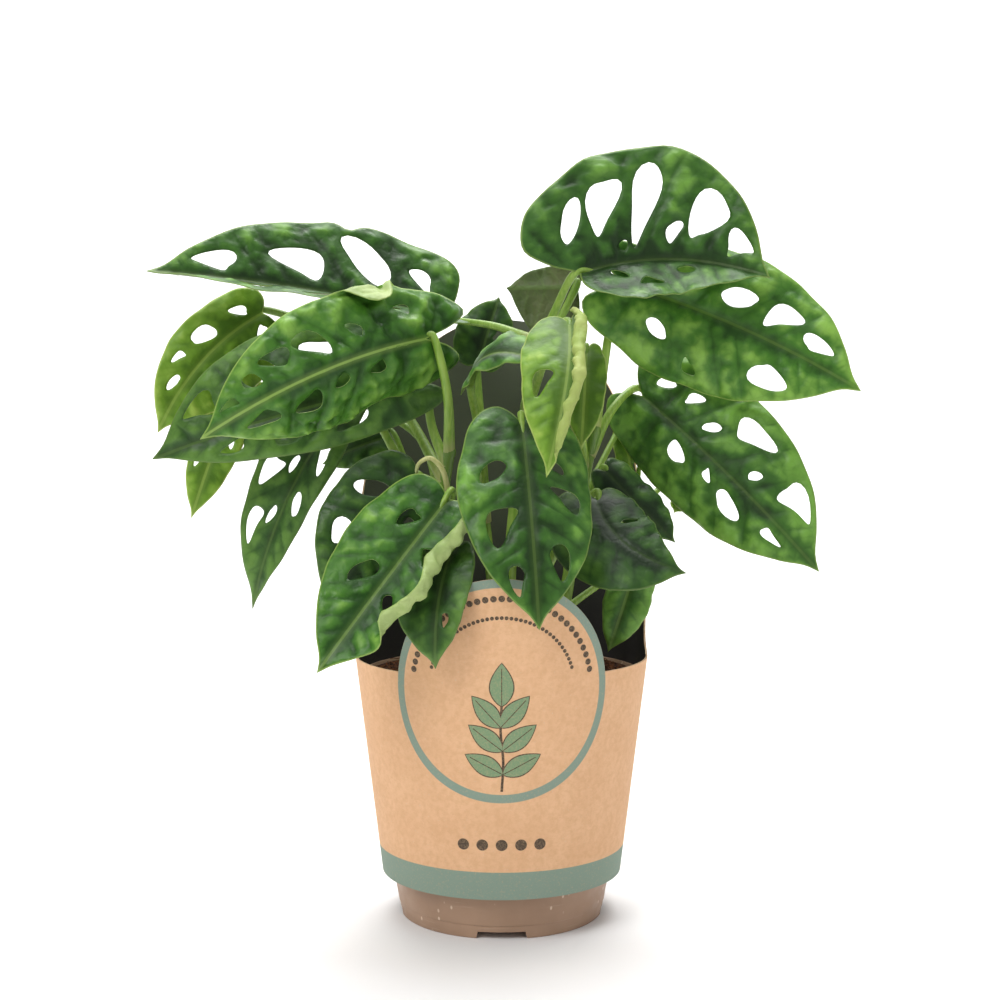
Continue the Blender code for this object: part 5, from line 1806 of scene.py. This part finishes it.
@dataclass
class Soil:
    """The coconut fibre soil in the pot, in millimetres, with its densities to a square metre."""

    edge_height: float = 100.0
    crown: float = 5.0
    radius: float = 56.7
    neck_radius: float = 54.2
    neck_height: float = 95.2
    belt_radius: float = 42.0
    belt_height: float = 11.0
    floor: float = 5.3
    rings: int = 44
    bare_rings: int = 4
    sides: int = 120
    crumb_density: float = 290000.0
    crumb_radius: float = 0.75
    fibre_density: float = 45000.0

    def height(self, x: float, y: float) -> float:
        """The height of the lumpy top.

        Args:
            x: Across, in millimetres.
            y: Deep, in millimetres.

        Returns:
            The height in millimetres.
        """
        share = min(1.0, math.hypot(x, y) / self.radius)
        lumps = math.sin(0.19 * x + 1.3) * math.cos(0.17 * y - 0.4) + 0.6 * math.sin(0.33 * (x + y))
        coarse = noise.fractal(Vector((x, y, 0)) / 3.4, 1.0, 2.0, 3)
        fine = noise.fractal(Vector((x, y, 7)) / 1.3, 1.0, 2.0, 2)
        rough = 0.9 * coarse + 0.35 * fine
        return self.edge_height + self.crown * (1 - share**2) + (lumps + rough) * (1 - share**4)

    def build(self) -> None:
        """Builds the soil with its crumbs and fibres, and rides it on the plant."""
        side = [(self.neck_radius, self.neck_height), (self.belt_radius, self.belt_height),
                (self.belt_radius - 3.2, self.floor)]
        top = [(self.radius * ring / self.rings, None) for ring in range(1, self.rings + 1)]
        points = [(0.0, 0.0, self.height(0, 0))]
        for radius, fixed in top + side:
            for i in range(self.sides):
                angle = 2 * math.pi * i / self.sides
                x, y = radius * math.cos(angle), radius * math.sin(angle)
                points.append((x, y, self.height(x, y) if fixed is None else fixed))
        points.append((0.0, 0.0, self.floor))
        faces = [(0, a, b) for a, b in loop_edges(1, self.sides)]
        last = 1 + (self.rings + len(side) - 1) * self.sides
        for low in range(1, last, self.sides):
            for a, b in loop_edges(low, self.sides):
                faces.append((a, a + self.sides, b + self.sides, b))
        bottom = len(points) - 1
        faces += [(bottom, b, a) for a, b in loop_edges(last, self.sides)]
        mesh = build_mesh("soil_bed", np.array(points) * MM, faces)
        mesh.materials.append(SoilFinish("soil_bed", colour(38, 26, 20), colour(96, 58, 36)).material())
        bed = add_object("soil_bed", mesh)
        strewn_count = (self.rings - self.bare_rings) * self.sides
        strewn_mesh = build_mesh("soil_top", np.array(points[: 1 + strewn_count]) * MM,
                                 faces[:strewn_count])
        carrier = add_object("soil_top", strewn_mesh)
        strewn = SoilFinish("soil_crumbs", colour(52, 34, 24), colour(134, 86, 54)).material()
        crumbs = crumb_tree().run(carrier, "soil_crumbs", Density=self.crumb_density,
                                  Size=self.crumb_radius * MM, Fibre_Density=self.fibre_density,
                                  Seed=4, Material=strewn)
        place_piece(bed, "soil", "soil")
        place_piece(crumbs, "soil")


@dataclass
class Sleeve:
    """The printed board sleeve on the pot's rim, in millimetres and degrees."""

    board: float = 0.8
    bottom: float = 18.3
    bottom_radius: float = 50.0
    top: float = 108.2
    top_radius: float = 61.0
    ear_centre: float = 102.5
    ear_radius: float = 44.7
    ring_width: float = 3.4
    band_top: float = 29.7
    ear_columns: int = 64
    side_columns: int = 26
    back_columns: int = 70
    rows: int = 14
    back_edge: Table = (
        (108.2, 90), (114, 82), (130, 76), (157, 68), (178, 60),
        (200, 51), (222, 39), (238, 26), (248, 13), (251, 0),
    )

    @property
    def slope(self) -> float:
        """The length up the cone for each unit of height."""
        return math.hypot(1.0, (self.top_radius - self.bottom_radius) / (self.top - self.bottom))

    def radius(self, height: float) -> float:
        """The cone's outer radius at a height."""
        share = (height - self.bottom) / (self.top - self.bottom)
        return self.bottom_radius + share * (self.top_radius - self.bottom_radius)

    def edge(self) -> list[tuple[float, float]]:
        """The upper edge, from the front round to the back.

        Returns:
            Places as (angle from the front in radians, height).
        """
        low = math.asin((self.top - self.ear_centre) * self.slope / self.ear_radius)
        edge = []
        for i in range(self.ear_columns + 1):
            turn = math.pi / 2 - (math.pi / 2 - low) * i / self.ear_columns
            height = self.ear_centre + self.ear_radius * math.sin(turn) / self.slope
            edge.append((self.ear_radius * math.cos(turn) / self.radius(height), height))
        start = edge[-1][0]
        for i in range(1, self.side_columns + 1):
            edge.append((start + (math.pi / 2 - start) * i / self.side_columns, self.top))
        knots = np.array([(math.radians(180 - angle), high) for high, angle in self.back_edge])
        edge += [tuple(place) for place in smooth_path(knots, self.back_columns)[1:]]
        return edge

    def spot(self, across: float, up: float, lift: float = 0.0) -> tuple[float, float, float]:
        """Places a point of the developed print on the cone.

        Args:
            across: The distance to the right of the ear's centre, in millimetres.
            up: The distance up the cone from the ear's centre, in millimetres.
            lift: How far it stands off the board, in millimetres.

        Returns:
            The place in metres.
        """
        height = self.ear_centre + up / self.slope
        angle = across / self.radius(height)
        radius = self.radius(height) + lift
        return radius * math.sin(angle) * MM, -radius * math.cos(angle) * MM, height * MM

    def build(self) -> None:
        """Builds the sleeve and rides it on the plant."""
        half = self.edge()
        columns = half + [(2 * math.pi - angle, high) for angle, high in half[-2:0:-1]]
        count = len(columns)
        points = []
        spots = []
        for wall in (0.0, self.board):
            for angle, high in columns:
                for row in range(self.rows + 1):
                    height = self.bottom + (high - self.bottom) * row / self.rows
                    radius = self.radius(height) - wall
                    points.append((radius * math.sin(angle), -radius * math.cos(angle), height))
                    turn = min(angle, 2 * math.pi - angle)
                    spots.append((turn * self.radius(height) / 10,
                                  (height - self.ear_centre) * self.slope / 10))
        step = self.rows + 1
        shell = count * step
        outer, inner, rims = [], [], []
        for i in range(count):
            j = (i + 1) % count
            for row in range(self.rows):
                a, b = i * step + row, j * step + row
                outer.append((a, b, b + 1, a + 1))
                inner.append((shell + a, shell + a + 1, shell + b + 1, shell + b))
            a, b = i * step, j * step
            rims.append((a, shell + a, shell + b, b))
            a, b = a + self.rows, b + self.rows
            rims.append((a, b, shell + b, shell + a))
        mesh = build_mesh("sleeve_board", np.array(points) * MM, outer + inner + rims)
        finish = BoardFinish()
        printed = finish.printed(self.ear_radius / 10, self.ring_width / 10,
                                 (self.band_top - self.ear_centre) * self.slope / 10)
        for material in (printed, finish.inside(), finish.edge()):
            mesh.materials.append(material)
        index = [0] * len(outer) + [1] * len(inner) + [2] * len(rims)
        mesh.polygons.foreach_set("material_index", index)
        add_map(mesh, "developed", np.array(spots))
        mesh.set_sharp_from_angle(angle=math.radians(40))
        place_piece(add_object("sleeve_board", mesh), "sleeve_board", "sleeve")


@dataclass
class SprigPrint:
    """A plain printed sprig and rows of dots, laid on the sleeve as thin ink, in millimetres."""

    sleeve: Sleeve
    grid: float = 2.0
    tolerance: float = 1e-6
    foot: float = 0.01
    outline: float = 0.45
    stem_width: float = 1.0
    pairs: int = 3

    def sheet(self, name: str, loop: Array, lift: float,
              ink: Material) -> Object:
        """A patch of ink with a given outline.

        Args:
            name: The patch's name.
            loop: The outline on the developed cone, in millimetres.
            lift: How far it stands off the board, in millimetres.
            ink: The ink's material.

        Returns:
            The patch's object.
        """
        low, high = loop.min(axis=0), loop.max(axis=0)
        grid = np.array([(x, y) for x in np.arange(low[0], high[0], self.grid)
                         for y in np.arange(low[1], high[1], self.grid)])
        if len(grid):
            grid = grid[inside(grid, loop)]
            grid = grid[distance_to_loops(grid, [loop]) > self.grid * 0.3]
        spots, faces = cut_sheet(loop.tolist() + grid.tolist(), loop_edges(0, len(loop)), [loop],
                                 self.tolerance)
        under, rim = close_sheet(faces, len(spots))
        points = [self.sleeve.spot(x, y, height) for height in (lift, self.foot) for x, y in spots]
        mesh = build_mesh(name, np.array(points), faces + under + rim)
        mesh.set_sharp_from_angle(angle=math.radians(40))
        mesh.materials.append(ink)
        return add_object(name, mesh)

    def leaf_loop(self, base: tuple[float, float], angle: float, length: float, width: float,
                  grow: float = 0.0) -> Array:
        """The outline of a plain pointed oval leaf.

        Args:
            base: Where it starts, in millimetres.
            angle: The way it points, in degrees from upright, clockwise.
            length: Its length.
            width: Its width.
            grow: How much larger the outline is drawn all round.

        Returns:
            The outline's points.
        """
        count = 15
        share = np.linspace(0, 1, count)
        swell = np.sin(math.pi * share**0.85) ** 0.9 * (width / 2 + grow)
        along = share * (length + 2 * grow) - grow
        right = np.column_stack([swell, along])
        left = np.column_stack([-swell, along])[-2:0:-1]
        loop = np.vstack([right, left])
        turn = math.radians(-angle)
        matrix = np.array([[math.cos(turn), -math.sin(turn)], [math.sin(turn), math.cos(turn)]])
        return loop @ matrix.T + np.array(base)

    def ribbon(self, path: Array, width: float) -> Array:
        """The outline of a stroke along a path.

        Args:
            path: The path's points in millimetres.
            width: The stroke's width.

        Returns:
            The outline's points.
        """
        ahead = np.gradient(path, axis=0)
        ahead /= np.linalg.norm(ahead, axis=1, keepdims=True)
        side = np.column_stack([ahead[:, 1], -ahead[:, 0]]) * width / 2
        return np.vstack([path + side, (path - side)[::-1]])

    def sprig(self) -> None:
        """Builds the upright sprig in the middle of the ear."""
        green = InkFinish("ink_green", colour(120, 148, 112)).material()
        dark = InkFinish("ink_brown", colour(74, 62, 50)).material()
        path = smooth_path([(0.0, -40.0), (0.6, -28.0), (-0.4, -16.0), (0.0, -5.0)], 24)
        pieces = [self.sheet("print_stem", self.ribbon(path, self.stem_width), 0.05, dark)]
        leaves = [((0.0, -5.5), 0.0, 17.0, 9.0)]
        for number in range(self.pairs):
            height = -33.0 + 9.5 * number
            for side in (-1, 1):
                start = float(np.interp(height, path[:, 1], path[:, 0]))
                leaves.append(((start, height), side * (62 - 10 * number), 16.5, 7.5))
        for number, (base, angle, length, width) in enumerate(leaves):
            rim = self.leaf_loop(base, angle, length, width, self.outline)
            body = self.leaf_loop(base, angle, length, width)
            turn = math.radians(angle)
            ends = [np.array(base) + np.array((math.sin(turn), math.cos(turn))) * length * s
                    for s in (0.0, 0.45, 0.88)]
            rib = self.ribbon(smooth_path(ends, 8), 0.35)
            pieces.append(self.sheet(f"print_rim_{number}", rim, 0.07, dark))
            pieces.append(self.sheet(f"print_leaf_{number}", body, 0.10, green))
            pieces.append(self.sheet(f"print_rib_{number}", rib, 0.13, dark))
        place_piece(join("sleeve_print_sprig", pieces), "sleeve_board")

    def dots(self) -> None:
        """Builds two arcs of dots over the sprig and a row of five near the foot."""
        spots, radii = [], []
        for reach, size, low, high, count in ((37.0, 1.25, 12, 168, 33), (29.5, 0.75, 18, 162, 41)):
            for angle in np.radians(np.linspace(low, high, count)):
                spots.append((reach * math.cos(angle), reach * math.sin(angle)))
                radii.append(size)
        for number in range(5):
            spots.append(((number - 2) * 7.6, -62.0))
            radii.append(2.3)
        mesh = bpy.data.meshes.new("dots")
        mesh.from_pydata([self.sleeve.spot(x, y, 0.03) for x, y in spots], [], [])
        add_numbers(mesh, "size", np.array(radii) * MM)
        lean = mesh.attributes.new("outward", "FLOAT_VECTOR", "POINT")
        outward = []
        for x, y in spots:
            up = np.subtract(self.sleeve.spot(x, y + 1), self.sleeve.spot(x, y))
            right = np.subtract(self.sleeve.spot(x + 1, y), self.sleeve.spot(x, y))
            outward += np.cross(right, up).tolist()
        lean.data.foreach_set("vector", np.array(outward) / MM**2)
        carrier = add_object("dots", mesh)
        ink = InkFinish("ink_dots", colour(78, 66, 54)).material()
        piece = dot_tree().run(carrier, "sleeve_print_dots", Depth=0.08 * MM, Material=ink)
        place_piece(piece, "sleeve_board")


def dot_tree() -> GeometryTree:
    """A thin round dot on each point, facing outwards.

    Returns:
        The tree, with the inputs Depth and Material.
    """
    tree = GeometryTree("printed_dots", Depth="Float", Material="Material")
    disc = tree.add("GeometryNodeMeshCylinder",
                    {"Vertices": 24, "Radius": 1.0, "Depth": tree.start["Depth"]})
    turn = tree.add("FunctionNodeAlignRotationToVector",
                    {"Vector": tree.named("outward", "FLOAT_VECTOR")}, axis="Z")
    size = tree.add("ShaderNodeCombineXYZ",
                    {0: tree.named("size"), 1: tree.named("size"), 2: 1.0})
    points = tree.add("GeometryNodeMeshToPoints", {0: tree.start["Geometry"]})
    dots = tree.add("GeometryNodeInstanceOnPoints",
                    {"Points": points.outputs[0], "Instance": disc.outputs[0],
                     "Rotation": turn.outputs[0], "Scale": size.outputs[0]})
    tree.close(dots.outputs[0])
    return tree


@dataclass
class Studio:
    """The pale sweep, the soft lights and the camera, in metres."""

    camera_place: tuple[float, float, float] = (-0.00065, -0.700, 0.2182)
    camera_pitch: float = 0.065
    camera_lens: float = 60.63
    sensor: float = 36.0

    def build(self) -> None:
        """Builds the studio."""
        self.sweep()
        self.lights()
        self.camera()

    def sweep(self) -> None:
        """Builds the floor, which curves up into the backdrop."""
        rows = [(-4.0, 0.0), (1.2, 0.0)]
        for i in range(1, 13):
            angle = math.pi / 2 * i / 12
            rows.append((1.2 + 1.0 * math.sin(angle), 1.0 - 1.0 * math.cos(angle)))
        rows.append((2.2, 5.0))
        points = []
        for y, z in rows:
            points += [(-5.0, y, z), (5.0, y, z)]
        faces = [(2 * i, 2 * i + 1, 2 * i + 3, 2 * i + 2) for i in range(len(rows) - 1)]
        mesh = build_mesh("studio_sweep", np.array(points), faces)
        mesh.materials.append(StageFinish().material())
        add_object("studio_sweep", mesh)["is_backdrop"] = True

    def lights(self) -> None:
        """Adds the world's glow and the soft boxes."""
        world = bpy.data.worlds.new("studio")
        bpy.context.scene.world = world
        world.use_nodes = True
        background = world.node_tree.nodes["Background"]
        background.inputs["Color"].default_value = (1.0, 1.0, 1.0, 1.0)
        background.inputs["Strength"].default_value = 0.35
        boxes = (
            ("key", (-0.9, -1.1, 1.5), (0, 0, 0.16), 0.9, 17),
            ("fill", (1.3, -1.0, 0.7), (0, 0, 0.16), 1.2, 3),
            ("top", (0.1, 0.2, 1.6), (0, 0, 0.2), 1.0, 13),
            ("backdrop", (0.0, 1.0, 2.2), (0, 2.4, 0.4), 1.6, 60),
        )
        for name, place, target, size, power in boxes:
            data = bpy.data.lights.new(name, "AREA")
            data.shape = "SQUARE"
            data.size = size
            data.energy = power
            lamp = add_object(name, data)
            lamp.location = place
            aim = Vector(target) - Vector(place)
            lamp.rotation_euler = aim.to_track_quat("-Z", "Y").to_euler()

    def camera(self) -> None:
        """Adds the camera at the picture's place."""
        data = bpy.data.cameras.new("camera")
        data.sensor_width = self.sensor
        data.lens = self.camera_lens
        camera = add_object("camera", data)
        camera.location = self.camera_place
        camera.rotation_euler = (math.pi / 2 - self.camera_pitch, 0.0, 0.0)
        bpy.context.scene.camera = camera
        bpy.context.scene.view_settings.view_transform = "Standard"


def write_sizes(solid_box: object) -> None:
    """Measures the dressed box and puts it beside the solids' box as plain lists, which are not kept.

    Args:
        solid_box: The box of the solids, taken straight after loading.
    """
    def numbers(box: object) -> list[list[float]]:
        """The box as plain lists."""
        return [[float(value) for value in corner] for corner in box]

    {"cad": numbers(solid_box), "visual": numbers(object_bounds())}


def main() -> None:
    """Builds every sub-assembly in order."""
    logging.basicConfig(level=logging.INFO, format="%(name)s %(message)s")
    solid_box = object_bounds()
    NurseryPot().build()
    Soil().build()
    sleeve = Sleeve()
    sleeve.build()
    design = SprigPrint(sleeve)
    design.sprig()
    design.dots()
    Foliage().build()
    Studio().build()
    write_sizes(solid_box)


if __name__ == "__main__":
    main()
